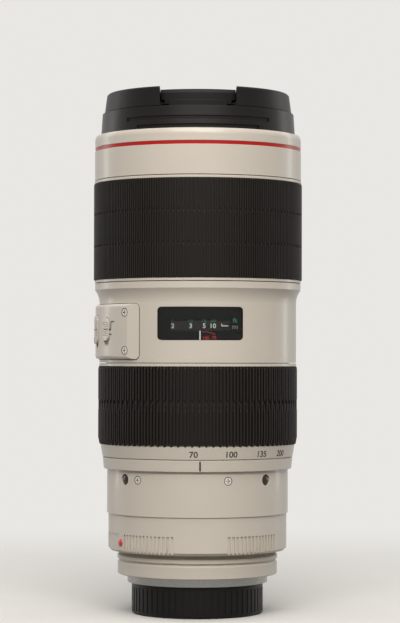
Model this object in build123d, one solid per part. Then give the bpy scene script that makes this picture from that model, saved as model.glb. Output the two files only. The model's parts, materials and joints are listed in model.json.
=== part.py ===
from build123d import *
import os
from math import atan, copysign, cos, degrees, hypot, pi, radians, sin, sqrt

# A telephoto zoom lens that stands on its rear cap, front end up.
# Lengths are millimetres and angles are degrees. +Z runs up the optical axis, and the
# origin is the middle of the rear cap's base. An angle round the axis is counted from the
# side of the distance window, -Y, and grows towards +X.

# Fits and clearances
running_gap = 0.3
seat_gap = 0.05
pin_gap = 0.08
cut_overrun = 1.0

# Heights along the axis, from the foot up
rear_cap_height = 13.0
flange_height = 3.5
mount_ring_height = 5.8
neck_height = 4.3
rear_grip_height = 15.6
collar_seat_height = 18.9
index_band_height = 4.8
zoom_scale_height = 5.2
zoom_grip_height = 33.0
zoom_lip_height = 1.2
main_barrel_height = 25.0
flare_height = 5.7
flare_rim_height = 2.7
focus_lip_height = 1.1
focus_grip_height = 41.0
front_shell_height = 12.3
red_ring_height = 1.5
front_rim_height = 5.2
filter_ring_height = 9.5
front_cap_height = 8.1

# The radii hang on two standard sizes: the thread for filters and the camera's mount
filter_thread_radius = 38.1
lug_radius = 26.9

# Walls, steps and spaces between the front thread and the innermost tube
filter_wall = 3.3
filter_taper = 0.6
rim_step = 2.6
grip_step = 0.4
grip_rubber = 1.6
focus_carrier_wall = 1.4
focus_sleeve_wall = 0.9
drum_wall = 1.4
drum_space = 1.5
cam_wall = 1.6
guide_wall = 1.4
sleeve_wall = 1.7
zoom_carrier_wall = 1.5
main_wall = 1.75
rear_boss = 1.05
rear_wall = 2.3

# Levels along the axis
flange_z = rear_cap_height + running_gap
mount_ring_z = flange_z + flange_height
neck_z = mount_ring_z + mount_ring_height
rear_grip_z = neck_z + neck_height
collar_seat_z = rear_grip_z + rear_grip_height
index_band_z = collar_seat_z + collar_seat_height
zoom_scale_z = index_band_z + index_band_height + running_gap
zoom_grip_z = zoom_scale_z + zoom_scale_height
zoom_lip_z = zoom_grip_z + zoom_grip_height
main_barrel_z = zoom_lip_z + zoom_lip_height + running_gap
flare_z = main_barrel_z + main_barrel_height
flare_rim_z = flare_z + flare_height
focus_ring_z = flare_rim_z + flare_rim_height + running_gap
focus_grip_z = focus_ring_z + focus_lip_height
focus_lip_z = focus_grip_z + focus_grip_height
front_shell_z = focus_lip_z + focus_lip_height + running_gap
red_ring_z = front_shell_z + front_shell_height
front_rim_z = red_ring_z + red_ring_height
filter_ring_z = front_rim_z + front_rim_height
filter_top_z = filter_ring_z + filter_ring_height
front_cap_z = filter_top_z + running_gap
front_cap_top_z = front_cap_z + front_cap_height

# Radii from the filter thread outwards, then inwards to the guide tube
filter_ring_radius = filter_thread_radius + filter_wall
filter_top_radius = filter_ring_radius - filter_taper
front_shell_radius = filter_ring_radius + rim_step
focus_grip_radius = front_shell_radius + grip_step
focus_carrier_radius = focus_grip_radius - grip_rubber
focus_bore = focus_carrier_radius - focus_carrier_wall
focus_sleeve_radius = focus_bore - running_gap
focus_sleeve_bore = focus_sleeve_radius - focus_sleeve_wall
drum_radius = focus_sleeve_bore - running_gap
drum_bore = drum_radius - drum_wall
cam_radius = drum_bore - drum_space
cam_bore = cam_radius - cam_wall
guide_radius = cam_bore - running_gap
guide_bore = guide_radius - guide_wall

# Radii from the cam barrel out to the zoom ring, and those of the fixed barrels
sleeve_bore = cam_radius + running_gap
sleeve_radius = sleeve_bore + sleeve_wall
zoom_bore = sleeve_radius + running_gap
zoom_carrier_radius = zoom_bore + zoom_carrier_wall
zoom_grip_radius = zoom_carrier_radius + grip_rubber
main_radius = focus_sleeve_bore + main_wall
rear_bore = guide_radius + rear_boss + seat_gap
collar_seat_radius = rear_bore + rear_wall


# The zoom ring turns one way from rest, and the scale drum both ways
zoom_turn = 58.0
drum_turn_back = 12.4
drum_turn_on = 39.9

# Cells slide on three pins each, in straight slots of the guide tube
pin_count = 3
pin_angles = tuple(index * 360 / pin_count for index in range(pin_count))
pin_radius = 1.5
pin_slot_width = 2 * (pin_radius + running_gap)
sleeve_seat = 1.6
compensator_rise = 9.0
compensator_travel = 12.0
key_rise = 20.3
variator_rise = 21.8
variator_travel = -28.0
stator_rise = 2.1
focus_rise = 25.0
focus_travel_back = 1.9
focus_travel_on = 6.1
sleeve_z = index_band_z + sleeve_seat
compensator_z = sleeve_z + compensator_rise
key_z = zoom_grip_z + key_rise
variator_z = main_barrel_z + variator_rise
stator_z = focus_ring_z + stator_rise
focus_z = focus_grip_z + focus_rise


def turned(*outline):
    """Turn an outline of (radius, height) points round the axis."""
    corners = [(radius, 0, height) for radius, height in outline]
    return revolve(make_face(Polyline(*corners, close=True)), Axis.Z, 360)


def ring(inner, outer, low, high):
    """A plain ring between two radii and two heights."""
    return turned((inner, low), (outer, low), (outer, high), (inner, high))


def sector(inner, outer, low, high, start, end):
    """The stretch of a ring that lies between two angles."""
    corners = [(0, -inner, low), (0, -outer, low), (0, -outer, high), (0, -inner, high)]
    face = make_face(Polyline(*corners, close=True))
    return Rot(0, 0, start) * revolve(face, Axis.Z, end - start)


def facing(angle, radius, height):
    """A place on the barrel: x runs round it, y up it and z straight out of it."""
    return Rot(0, 0, angle) * Pos(0, -radius, height) * Rot(90, 0, 0)


def radial_rod(radius, inner, outer, angle, height):
    """A round rod that points straight out from the axis."""
    rod = extrude(Circle(radius), outer - inner)
    return facing(angle, inner, height) * rod


def round_slab(width, height, corner, depth):
    """A rounded rectangle drawn out along its own z."""
    return extrude(RectangleRounded(width, height, corner), depth)


def pill(length, width, depth):
    """A pill shape, long in y, drawn out along its own z."""
    return extrude(SlotOverall(length, width, rotation=90), depth)


def arc_height(radius, sag, reach):
    """Height of a spherical cap of this rim radius and sag, at a distance from its axis."""
    curve = (radius**2 + sag**2) / (2 * sag)
    return sag - curve + copysign(sqrt(curve**2 - reach**2), curve)


def lens_glass(radius, edge, front_sag, rear_sag, low):
    """A lens element with its rim's lower edge at this height. A positive sag bulges."""
    half = radius / 2
    rear = ThreePointArc(
        (0, 0, low - rear_sag),
        (half, 0, low - arc_height(radius, rear_sag, half)),
        (radius, 0, low),
    )
    top = low + edge
    front = ThreePointArc(
        (radius, 0, top),
        (half, 0, top + arc_height(radius, front_sag, half)),
        (0, 0, top + front_sag),
    )
    outline = [rear, Line(rear @ 1, front @ 0), front, Line(front @ 1, rear @ 0)]
    return revolve(make_face(outline), Axis.Z, 360)


def helical_slot(inner, outer, width, angle, height, turn, rise):
    """A cutter for a pin's slot that climbs by rise while it goes round by turn."""
    middle = (inner + outer) / 2
    end_share = width / hypot(middle * radians(turn), rise)
    angle, height = angle - turn * end_share / 2, height - rise * end_share / 2
    turn, rise = turn * (1 + end_share), rise * (1 + end_share)
    if rise < 0:
        angle, height, turn, rise = angle + turn, height + rise, -turn, -rise
    path = Helix(rise * 360 / abs(turn), rise, middle, lefthand=turn < 0)
    start = Plane(path @ 0, x_dir=(1, 0, 0), z_dir=path % 0)
    section = start * Rectangle(outer - inner + 2 * cut_overrun, width)
    return Pos(0, 0, height) * Rot(0, 0, angle - 90) * sweep(section, path, is_frenet=True)


def ribbed_face(radius, depth, count):
    """A flat gear-like face: ribs with sloped flanks round a circle."""
    corners = []
    for index in range(count):
        for share, low in zip(rib_corner_shares, (0, 0, depth, depth)):
            turn = (index + share) * 2 * pi / count
            corners.append(((radius - low) * cos(turn), (radius - low) * sin(turn)))
    return make_face(Polyline(*corners, close=True))


def cross_screw(head_radius, head_height, shank_radius, shank_length):
    """A cross-head screw with the top of its head at the origin, pointing down its z."""
    head = Pos(0, 0, -head_height) * extrude(Circle(head_radius), head_height)
    shank = Pos(0, 0, -head_height - shank_length) * extrude(Circle(shank_radius), shank_length)
    length = head_radius * screw_cross_length_share
    width = head_radius * screw_cross_width_share
    depth = head_height * screw_cross_depth_share
    bar = Box(2 * length, width, 2 * depth)
    return head + shank - bar - Rot(0, 0, 90) * bar


# Where one rib starts, ends, and where its valley starts and ends, in shares of the pitch
rib_corner_shares = (-0.24, 0.24, 0.32, 0.68)
# The cross in a screw head
screw_cross_length_share = 0.62
screw_cross_width_share = 0.28
screw_cross_depth_share = 0.6

# Rear cap: a cup with three lugs inside that lock under the mount's lugs
cap_cup_wall = 0.7
cap_floor = 2.0
cap_edge = 0.8
cap_base_recess = 0.5
cap_base_ring = 3.5
cap_lug_height = 1.5
cap_lug_reach = 1.3
cap_lug_span = 46.0
cap_rib_count = 60
cap_rib_depth = 0.25
cap_rib_width = 1.0
cap_rib_margin = 1.6
lug_count = 3
lug_height = 1.7
lug_span = 56.0
rear_cap_bore = lug_radius + running_gap
rear_cap_radius = rear_cap_bore + cap_cup_wall
# The cap's lugs lie just above those of the mount
cap_lug_z = flange_z - 2 * running_gap - cap_lug_height
lug_top_z = cap_lug_z - running_gap
mount_end_z = lug_top_z - lug_height


def make_rear_cap():
    cup = turned(
        (0, 0),
        (rear_cap_radius - cap_edge, 0),
        (rear_cap_radius, cap_edge),
        (rear_cap_radius, rear_cap_height),
        (rear_cap_bore, rear_cap_height),
        (rear_cap_bore, cap_floor),
        (0, cap_floor),
    )
    cup -= ring(0, rear_cap_radius - cap_base_ring, -cut_overrun, cap_base_recess)
    rib_height = rear_cap_height - 2 * cap_rib_margin
    groove = Pos(rear_cap_radius, 0, rear_cap_height / 2) * Box(2 * cap_rib_depth, cap_rib_width, rib_height)
    cup -= [Rot(0, 0, index * 360 / cap_rib_count) * groove for index in range(cap_rib_count)]
    for index in range(lug_count):
        middle = index * 360 / lug_count
        cup += sector(
            rear_cap_bore - cap_lug_reach,
            rear_cap_bore + cap_cup_wall / 2,
            cap_lug_z,
            cap_lug_z + cap_lug_height,
            middle - cap_lug_span / 2,
            middle + cap_lug_span / 2,
        )
    return cup


# Bayonet mount: flange, tube and lugs in one piece, with the screws that hold it
mount_tube_wall = 2.3
flange_rim = 1.85
mount_spigot_height = 2.2
mount_spigot_wall = 2.6
mount_screw_count = 4
mount_screw_angle = 45.0
mount_screw_head = 1.3
mount_screw_head_height = 0.9
mount_screw_shank = 0.7
mount_screw_bite = 1.6
mount_tube_radius = rear_cap_bore - cap_lug_reach - running_gap
mount_tube_bore = mount_tube_radius - mount_tube_wall
mount_spigot_radius = mount_tube_bore + mount_spigot_wall
flange_radius = rear_cap_radius + flange_rim
mount_screw_circle = (mount_tube_radius + flange_radius) / 2
mount_screw_length = flange_height + mount_screw_bite - mount_screw_head_height


def mount_screw_places():
    for index in range(mount_screw_count):
        turn = mount_screw_angle + index * 360 / mount_screw_count
        yield Rot(0, 0, turn) * Pos(0, -mount_screw_circle, flange_z) * Rot(180, 0, 0)


def make_bayonet_mount():
    body = turned(
        (mount_tube_bore, mount_end_z),
        (mount_tube_radius, mount_end_z),
        (mount_tube_radius, flange_z),
        (flange_radius, flange_z),
        (flange_radius, mount_ring_z),
        (mount_spigot_radius, mount_ring_z),
        (mount_spigot_radius, mount_ring_z + mount_spigot_height),
        (mount_tube_bore, mount_ring_z + mount_spigot_height),
    )
    for index in range(lug_count):
        middle = index * 360 / lug_count
        low_high = (mount_end_z, lug_top_z)
        half = lug_span / 2
        body += sector(mount_tube_bore, lug_radius, *low_high, middle - half, middle + half)
    for place in mount_screw_places():
        hole = extrude(Circle(mount_screw_shank + seat_gap), -flange_height - cut_overrun)
        head = extrude(Circle(mount_screw_head + seat_gap), -mount_screw_head_height)
        body -= place * (hole + head)
    return body


def make_mount_screws():
    screw = cross_screw(mount_screw_head, mount_screw_head_height, mount_screw_shank, mount_screw_length)
    return [place * screw for place in mount_screw_places()]


# Contact block inside the mount's tube, and the pins in it
contact_block_wall = 2.6
contact_block_inset = 0.5
contact_block_height = 3.2
contact_block_span = 60.0
contact_block_angle = 180.0
contact_count = 8
contact_pitch = 7.0
contact_radius = 0.7
contact_proud = 0.4
contact_depth = 2.4
contact_block_radius = mount_tube_bore - seat_gap
contact_block_z = mount_end_z + contact_block_inset


def contact_places():
    first = contact_block_angle - contact_pitch * (contact_count - 1) / 2
    circle = contact_block_radius - contact_block_wall / 2
    for index in range(contact_count):
        yield Rot(0, 0, first + index * contact_pitch) * Pos(0, -circle, contact_block_z)


def make_contact_block():
    half = contact_block_span / 2
    body = sector(
        contact_block_radius - contact_block_wall,
        contact_block_radius,
        contact_block_z,
        contact_block_z + contact_block_height,
        contact_block_angle - half,
        contact_block_angle + half,
    )
    hole = extrude(Circle(contact_radius + seat_gap), contact_depth)
    return body - [place * hole for place in contact_places()]


def make_contact_pins():
    pin = Pos(0, 0, -contact_proud) * extrude(Circle(contact_radius), contact_proud + contact_depth)
    return [place * pin for place in contact_places()]


# White ring between the mount and the barrel
mount_ring_step = 4.15
mount_ring_wall = 2.6
mount_ring_edge = 0.3
mount_ring_top_edge = 0.7
ledge_height = 2.6
mount_ring_radius = flange_radius + mount_ring_step


def make_mount_ring():
    wall_bore = mount_ring_radius - mount_ring_wall
    top_z = mount_ring_z + mount_ring_height
    body = turned(
        (mount_spigot_radius + seat_gap, mount_ring_z),
        (mount_ring_radius - mount_ring_edge, mount_ring_z),
        (mount_ring_radius, mount_ring_z + mount_ring_edge),
        (mount_ring_radius, top_z - mount_ring_top_edge),
        (mount_ring_radius - mount_ring_top_edge, top_z),
        (wall_bore, top_z),
        (wall_bore, mount_ring_z + ledge_height),
        (mount_spigot_radius + seat_gap, mount_ring_z + ledge_height),
    )
    for place in mount_screw_places():
        depth = flange_height + mount_screw_bite
        body -= place * extrude(Circle(mount_screw_shank + seat_gap), -depth)
    return body


# Rear barrel: neck, ribbed grip, the seat of the tripod collar and the index band
neck_step = 0.1
neck_wall = 2.7
neck_edge = 0.3
seam_depth = 1.0
seam_height = 0.6
waist_depth = 1.5
waist_height = 2.0
grip_edge = 1.1
seat_step = 0.6
seat_edge = 0.2
web_height = 1.8
index_step = 1.5
index_taper = 0.4
index_edge = 0.2
grip_groove_count = 14
grip_groove_pitch = 2.87
grip_groove_width = 1.1
grip_groove_depth = 0.7
grip_groove_height = 7.7
grip_group_angles = (-53.2, 20.2, 107.0, -148.0)
index_pad_angle = -70.0
index_pad_span = 20.0
index_pad_depth = 0.25
neck_radius = mount_ring_radius + neck_step
neck_bore = neck_radius - neck_wall
rear_grip_radius = collar_seat_radius - seat_step
web_z = rear_grip_z + web_height
index_low_radius = collar_seat_radius + index_step
index_high_radius = index_low_radius + index_taper

# Screws of the barrel, and studs of the collar seat
barrel_screw_head = 1.6
barrel_screw_head_height = 0.9
barrel_screw_shank = 0.8
barrel_screw_length = 2.6
barrel_screw_drop = 3.8
barrel_screw_angles = (-39.9, 19.1, 110.0, -120.0)
stud_radius = 2.25
stud_dome = 0.6
stud_depth = 1.6
stud_angles = (-51.6, 47.5, 128.4, -132.5)
barrel_screw_z = index_band_z - barrel_screw_drop


def make_rear_barrel():
    waist_radius = neck_radius - waist_depth
    top_z = index_band_z + index_band_height
    body = turned(
        (neck_bore, neck_z),
        (neck_radius - seam_depth, neck_z),
        (neck_radius - seam_depth, neck_z + seam_height),
        (neck_radius - neck_edge, neck_z + seam_height),
        (neck_radius, neck_z + seam_height + neck_edge),
        (neck_radius, rear_grip_z - waist_height),
        (waist_radius, rear_grip_z - waist_height + waist_depth),
        (waist_radius, rear_grip_z),
        (rear_grip_radius - grip_edge, rear_grip_z),
        (rear_grip_radius, rear_grip_z + grip_edge),
        (rear_grip_radius, collar_seat_z),
        (collar_seat_radius, collar_seat_z + seat_edge),
        (collar_seat_radius, index_band_z),
        (index_low_radius - index_edge, index_band_z),
        (index_low_radius, index_band_z + index_edge),
        (index_high_radius, top_z - index_edge),
        (index_high_radius - index_edge, top_z),
        (sleeve_radius + seat_gap, top_z),
        (sleeve_radius + seat_gap, sleeve_z),
        (rear_bore, sleeve_z),
        (rear_bore, web_z),
        (neck_bore, web_z),
    )
    groove_low = rear_grip_z - cut_overrun
    groove_length = grip_groove_height + cut_overrun
    groove = Box(grip_groove_width, 2 * grip_groove_depth, groove_length)
    groove = Pos(0, -rear_grip_radius, groove_low + groove_length / 2) * groove
    body -= [
        Rot(0, 0, start + index * grip_groove_pitch) * groove
        for start in grip_group_angles
        for index in range(grip_groove_count)
    ]
    body -= sector(
        rear_grip_radius - index_pad_depth,
        rear_grip_radius + cut_overrun,
        groove_low,
        groove_low + groove_length,
        index_pad_angle - index_pad_span / 2,
        index_pad_angle + index_pad_span / 2,
    )
    out = collar_seat_radius + cut_overrun
    floor = collar_seat_radius - stud_depth
    for angle in stud_angles:
        body -= radial_rod(stud_radius + seat_gap, floor, out, angle, barrel_screw_z)
    floor = collar_seat_radius - barrel_screw_head_height
    for angle in barrel_screw_angles:
        body -= radial_rod(barrel_screw_head + seat_gap, floor, out, angle, barrel_screw_z)
        body -= radial_rod(barrel_screw_shank + seat_gap, guide_radius, floor, angle, barrel_screw_z)
    return body


def make_collar_studs():
    """Domed studs that lie just below the surface of the collar seat."""
    curve = (stud_radius**2 + stud_dome**2) / (2 * stud_dome)
    floor = collar_seat_radius - stud_depth + seat_gap
    studs = []
    for angle in stud_angles:
        rod = radial_rod(stud_radius, floor, collar_seat_radius, angle, barrel_screw_z)
        ball = facing(angle, collar_seat_radius - curve, barrel_screw_z) * Sphere(curve)
        studs.append(rod & ball)
    return studs


# Switch panel, laid on the main barrel round its left side, and its slide switches
panel_low = 1.4
panel_height = 23.0
panel_thickness = 1.65
panel_start = -135.0
panel_end = -35.0
panel_corner = 2.0
panel_edge_round = 1.4
panel_bevel_span = 7.0
panel_bevel_depth = 1.4
panel_screw_rise = 7.85
panel_screw_angles = (-44.0, -126.0)
switch_angles = (-61.0, -77.0, -93.0, -109.0)
switch_lengths = (9.6, 11.8, 11.8, 9.6)
switch_width = 4.4
switch_travel = 1.9
switch_pocket = 1.1
switch_proud = 0.6
switch_groove_pitch = 0.9
switch_groove_width = 0.4
switch_groove_depth = 0.25
switch_groove_count = 7
switch_stem_width = 1.4
switch_stem_length = 3.0
switch_stem_depth = 0.9
panel_z = main_barrel_z + panel_low
panel_middle_z = panel_z + panel_height / 2
panel_radius = main_radius + panel_thickness
switch_slot_floor = main_radius - switch_stem_depth


def panel_screw_spots():
    for angle in panel_screw_angles:
        for rise in (-panel_screw_rise, panel_screw_rise):
            yield angle, panel_middle_z + rise


def make_barrel_screws():
    """The screws of the rear barrel and those of the switch panel."""
    shank_length = barrel_screw_length - barrel_screw_head_height
    head_height = barrel_screw_head_height - seat_gap
    screw = cross_screw(barrel_screw_head, head_height, barrel_screw_shank, shank_length)
    places = [facing(angle, collar_seat_radius - seat_gap, barrel_screw_z) for angle in barrel_screw_angles]
    places += [facing(angle, panel_radius - seat_gap, height) for angle, height in panel_screw_spots()]
    return [place * screw for place in places]


def switch_slot(angle):
    """The slot that a switch's stem runs in, through the panel and into the barrel."""
    length = switch_stem_length + switch_travel + 2 * running_gap
    depth = panel_radius - switch_slot_floor
    slot = pill(length, switch_stem_width + 2 * running_gap, depth)
    return facing(angle, switch_slot_floor, panel_middle_z) * slot


def make_switch_panel():
    top_z = panel_z + panel_height
    body = sector(main_radius + seat_gap, panel_radius, panel_z, top_z, panel_start, panel_end)
    radial_edges = body.edges().filter_by(GeomType.LINE).filter_by(Axis.Z, reverse=True)
    body = fillet(radial_edges, panel_corner)
    outer_face = max(body.faces().filter_by(GeomType.CYLINDER), key=lambda face: face.area)
    body = fillet(outer_face.outer_wire().edges(), panel_edge_round)
    out = panel_radius + cut_overrun
    low = panel_radius - panel_bevel_depth
    bevel = [(panel_radius, panel_bevel_span), (low, 0), (out, 0), (out, panel_bevel_span)]
    corners = [Vector(0, -radius).rotate(Axis.Z, panel_end - span) for radius, span in bevel]
    cutter = extrude(make_face(Polyline(*corners, close=True)), panel_height)
    body -= Pos(0, 0, panel_z) * cutter
    floor = panel_radius - barrel_screw_head_height
    for angle, height in panel_screw_spots():
        body -= radial_rod(barrel_screw_head + seat_gap, floor, out, angle, height)
        body -= radial_rod(barrel_screw_shank + seat_gap, main_radius, floor, angle, height)
    for angle, length in zip(switch_angles, switch_lengths):
        pocket_length = length + switch_travel + 2 * running_gap
        pocket = pill(pocket_length, switch_width + 2 * running_gap, 2 * switch_pocket)
        body -= facing(angle, panel_radius - switch_pocket, panel_middle_z) * pocket
        body -= switch_slot(angle)
    return body


def make_switch_knob(angle, length):
    """A slide knob in its upper place, with grooves across it and a stem below."""
    base = panel_radius - switch_pocket + running_gap
    height = switch_pocket + switch_proud - running_gap
    knob = pill(length, switch_width, height)
    groove = Box(switch_width, switch_groove_width, 2 * switch_groove_depth)
    first = -switch_groove_pitch * (switch_groove_count - 1) / 2
    for index in range(switch_groove_count):
        knob -= Pos(0, first + index * switch_groove_pitch, height) * groove
    stem_depth = base - switch_slot_floor - running_gap
    knob += Pos(0, 0, -stem_depth) * pill(switch_stem_length, switch_stem_width, stem_depth)
    return facing(angle, base, panel_middle_z + switch_travel / 2) * knob


# Main barrel: the sleeve under the zoom ring, the barrel with its window, and the flare
main_web = 3.0
flare_step = 1.9
socket_depth = 3.2
key_width = 6.0
key_height = 5.0
window_angle = 1.5
window_width = 35.2
window_height = 13.8
window_rise = 9.2
window_corner = 1.6
window_ledge = 0.6
mask_ledge_depth = 0.4
mask_thickness = 0.4
mask_slot_width = 24.8
mask_slot_height = 4.7
mask_slot_drop = 0.55
mask_slot_corner = 0.4
pane_inset = 0.2
main_web_z = zoom_lip_z + zoom_lip_height + running_gap
main_top_z = flare_rim_z + flare_rim_height
socket_z = main_top_z - socket_depth
flare_radius = main_radius + flare_step
window_z = main_barrel_z + window_rise + window_height / 2
mask_radius = focus_sleeve_bore + mask_ledge_depth


def window_block(width, height, corner, inner, outer, z):
    """A rounded rectangle on the barrel's side, between two radii."""
    slab = facing(window_angle, 0, z) * round_slab(width, height, corner, outer + cut_overrun)
    return slab & ring(inner, outer, z - height, z + height)


def make_main_barrel():
    def spot(radius, height):
        return (radius, 0, height)

    flare_foot = spot(main_radius, flare_z)
    flare = TangentArc(flare_foot, spot(flare_radius, flare_rim_z), tangent=(0, 0, 1))
    rest = Polyline(
        flare @ 1,
        spot(flare_radius, main_top_z),
        spot(focus_sleeve_radius + seat_gap, main_top_z),
        spot(focus_sleeve_radius + seat_gap, socket_z),
        spot(focus_sleeve_bore, socket_z),
        spot(focus_sleeve_bore, main_web_z + main_web),
        spot(sleeve_bore, main_web_z + main_web),
        spot(sleeve_bore, sleeve_z),
        spot(sleeve_radius, sleeve_z),
        spot(sleeve_radius, main_web_z),
        spot(main_radius, main_web_z),
        flare_foot,
    )
    body = revolve(make_face([flare, rest]), Axis.Z, 360)
    edge = degrees(atan((key_width / 2 + running_gap) / sleeve_bore))
    half_height = key_height / 2 + running_gap
    for angle in pin_angles:
        reach = (sleeve_bore - cut_overrun, zoom_bore, key_z - half_height, key_z + half_height)
        body -= sector(*reach, angle - zoom_turn - edge, angle + edge)
    out = main_radius + cut_overrun
    body -= window_block(window_width, window_height, window_corner, mask_radius, out, window_z)
    body -= window_block(
        window_width - 2 * window_ledge,
        window_height - 2 * window_ledge,
        window_corner - window_ledge,
        focus_sleeve_bore - cut_overrun,
        mask_radius + cut_overrun,
        window_z,
    )
    reach = (focus_sleeve_bore - cut_overrun, out)
    for angle, height in panel_screw_spots():
        body -= radial_rod(barrel_screw_shank + seat_gap, *reach, angle, height)
    for angle in switch_angles:
        body -= switch_slot(angle)
    return body


def make_window_mask():
    inner = mask_radius + seat_gap
    size = (window_width - 2 * seat_gap, window_height - 2 * seat_gap, window_corner)
    body = window_block(*size, inner, inner + mask_thickness, window_z)
    slot = (mask_slot_width, mask_slot_height, mask_slot_corner)
    reach = (inner - cut_overrun, inner + mask_thickness + cut_overrun)
    return body - window_block(*slot, *reach, window_z - mask_slot_drop)


def make_distance_window():
    inner = mask_radius + 2 * seat_gap + mask_thickness
    size = (window_width - 2 * seat_gap, window_height - 2 * seat_gap, window_corner)
    return window_block(*size, inner, main_radius - pane_inset, window_z)


# Zoom ring with its scale, its rubber grip and the keys that turn the cam barrel
scale_step = 0.3
scale_taper = 0.9
zoom_lip_step = 0.4
key_sink = 1.0
zoom_rib_count = 90
zoom_rib_depth = 0.8
zoom_groove_rise = 17.4
zoom_groove_height = 1.2
zoom_groove_depth = 0.45
zoom_taper = 0.9
zoom_taper_height = 3.0


def make_zoom_ring():
    scale_low = zoom_carrier_radius - scale_step
    scale_high = scale_low + scale_taper
    lip_radius = zoom_grip_radius - zoom_lip_step
    body = turned(
        (zoom_bore, zoom_scale_z),
        (scale_low, zoom_scale_z),
        (scale_high, zoom_grip_z),
        (zoom_carrier_radius, zoom_grip_z),
        (zoom_carrier_radius, zoom_lip_z),
        (lip_radius, zoom_lip_z),
        (lip_radius, zoom_lip_z + zoom_lip_height),
        (zoom_bore, zoom_lip_z + zoom_lip_height),
    )
    pocket = Box(key_width + 2 * seat_gap, key_height + 2 * seat_gap, 2 * (key_sink + seat_gap))
    return body - [facing(angle, zoom_bore, key_z) * pocket for angle in pin_angles]


def make_zoom_keys():
    inner = cam_bore + seat_gap
    length = zoom_bore + key_sink - inner
    key = Pos(0, 0, length / 2) * Box(key_width, key_height, length)
    return [facing(angle, inner, key_z) * key for angle in pin_angles]


def make_zoom_grip():
    bore = zoom_carrier_radius + seat_gap
    face = ribbed_face(zoom_grip_radius, zoom_rib_depth, zoom_rib_count) - Circle(bore)
    low = zoom_grip_z + seat_gap
    body = Pos(0, 0, low) * extrude(face, zoom_grip_height - 2 * seat_gap)
    out = zoom_grip_radius + cut_overrun
    groove_z = zoom_grip_z + zoom_groove_rise
    body -= ring(zoom_grip_radius - zoom_groove_depth, out, groove_z, groove_z + zoom_groove_height)
    taper_end = zoom_grip_z + zoom_taper_height
    thin = zoom_grip_radius - zoom_taper
    return body - turned((thin, low), (out, low), (out, taper_end), (zoom_grip_radius, taper_end))


# Cam barrel between the guide tube and the sleeve: it turns with the zoom ring
guide_boss_half = 2.0
guide_lip = 3.6
guide_top_z = front_shell_z + guide_lip


def make_cam_barrel():
    low = sleeve_z + running_gap
    body = ring(cam_bore, cam_radius, low, stator_z - running_gap)
    opening = Box(key_width + 2 * seat_gap, key_height + 2 * seat_gap, 2 * cam_wall + 2 * cut_overrun)
    for angle in pin_angles:
        body -= facing(angle, cam_bore, key_z) * opening
        for height, travel in ((variator_z, variator_travel), (compensator_z, compensator_travel)):
            body -= helical_slot(cam_bore, cam_radius, pin_slot_width, angle, height, zoom_turn, travel)
    return body


# Guide tube: straight slots for every cell's pins, and a ring for the barrel's screws
def make_guide_tube():
    boss_radius = rear_bore - seat_gap
    body = turned(
        (guide_bore, web_z),
        (guide_radius, web_z),
        (guide_radius, barrel_screw_z - guide_boss_half),
        (boss_radius, barrel_screw_z - guide_boss_half),
        (boss_radius, barrel_screw_z + guide_boss_half),
        (guide_radius, barrel_screw_z + guide_boss_half),
        (guide_radius, guide_top_z),
        (guide_bore, guide_top_z),
    )
    for angle in barrel_screw_angles:
        body -= radial_rod(barrel_screw_shank + seat_gap, guide_radius, rear_bore, angle, barrel_screw_z)
    stretches = (
        (variator_z + variator_travel, variator_z),
        (compensator_z, compensator_z + compensator_travel),
        (focus_z - focus_travel_back, focus_z + focus_travel_on),
    )
    for angle in pin_angles:
        for low, high in stretches:
            slot = pill(high - low + pin_slot_width, pin_slot_width, guide_wall + 2 * cut_overrun)
            body -= facing(angle, guide_bore - cut_overrun, (low + high) / 2) * slot
    return body


# Cells: a sliding carrier with a glass in it and three pins that point out
cell_wall = 1.8
cell_web = 2.0
glass_mount_wall = 1.4
glass_seat_width = 1.0
glass_seat_height = 0.8
pin_tip_gap = 0.2
cell_radius = guide_bore - running_gap


def make_cell(z, half_height, glass_radius, glass_edge, pin_end):
    """A carrier whose pins sit at one height, with a seat for a glass at its middle."""
    glass_bore = glass_radius + seat_gap
    mount_radius = glass_bore + glass_mount_wall
    low = z - glass_edge / 2 - glass_seat_height
    high = z + glass_edge / 2
    body = turned(
        (cell_radius - cell_wall, z - half_height),
        (cell_radius, z - half_height),
        (cell_radius, z + half_height),
        (cell_radius - cell_wall, z + half_height),
        (cell_radius - cell_wall, z + cell_web / 2),
        (mount_radius, z + cell_web / 2),
        (mount_radius, high),
        (glass_bore, high),
        (glass_bore, low + glass_seat_height),
        (glass_bore - glass_seat_width, low + glass_seat_height),
        (glass_bore - glass_seat_width, low),
        (mount_radius, low),
        (mount_radius, z - cell_web / 2),
        (cell_radius - cell_wall, z - cell_web / 2),
    )
    for angle in pin_angles:
        body += radial_rod(pin_radius, cell_radius - cell_wall / 2, pin_end, angle, z)
    return body


def make_cell_glass(z, glass_radius, glass_edge, front_sag, rear_sag):
    edge = glass_edge - seat_gap
    return lens_glass(glass_radius, edge, front_sag, rear_sag, z - glass_edge / 2 + seat_gap)


variator_half = 7.0
variator_glass_radius = 22.0
variator_glass_edge = 7.5
variator_sag = -2.4
compensator_half = 6.0
compensator_glass_radius = 21.0
compensator_glass_edge = 4.0
compensator_sag = 2.2
compensator_rear_sag = -0.7
focus_half = 7.0
focus_glass_radius = 27.0
focus_glass_edge = 4.6
focus_front_sag = 3.4
focus_rear_sag = -2.0

# Scale drum: it shows in the window, and its slots move the focusing cell
def make_distance_drum():
    low = main_web_z + main_web + running_gap
    body = ring(drum_bore, drum_radius, low, front_shell_z - running_gap)
    turn = -drum_turn_back - drum_turn_on
    rise = focus_travel_back + focus_travel_on
    foot = focus_z - focus_travel_back
    for angle in pin_angles:
        start = angle + drum_turn_back
        body -= helical_slot(drum_bore, drum_radius, pin_slot_width, start, foot, turn, rise)
    return body


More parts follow.
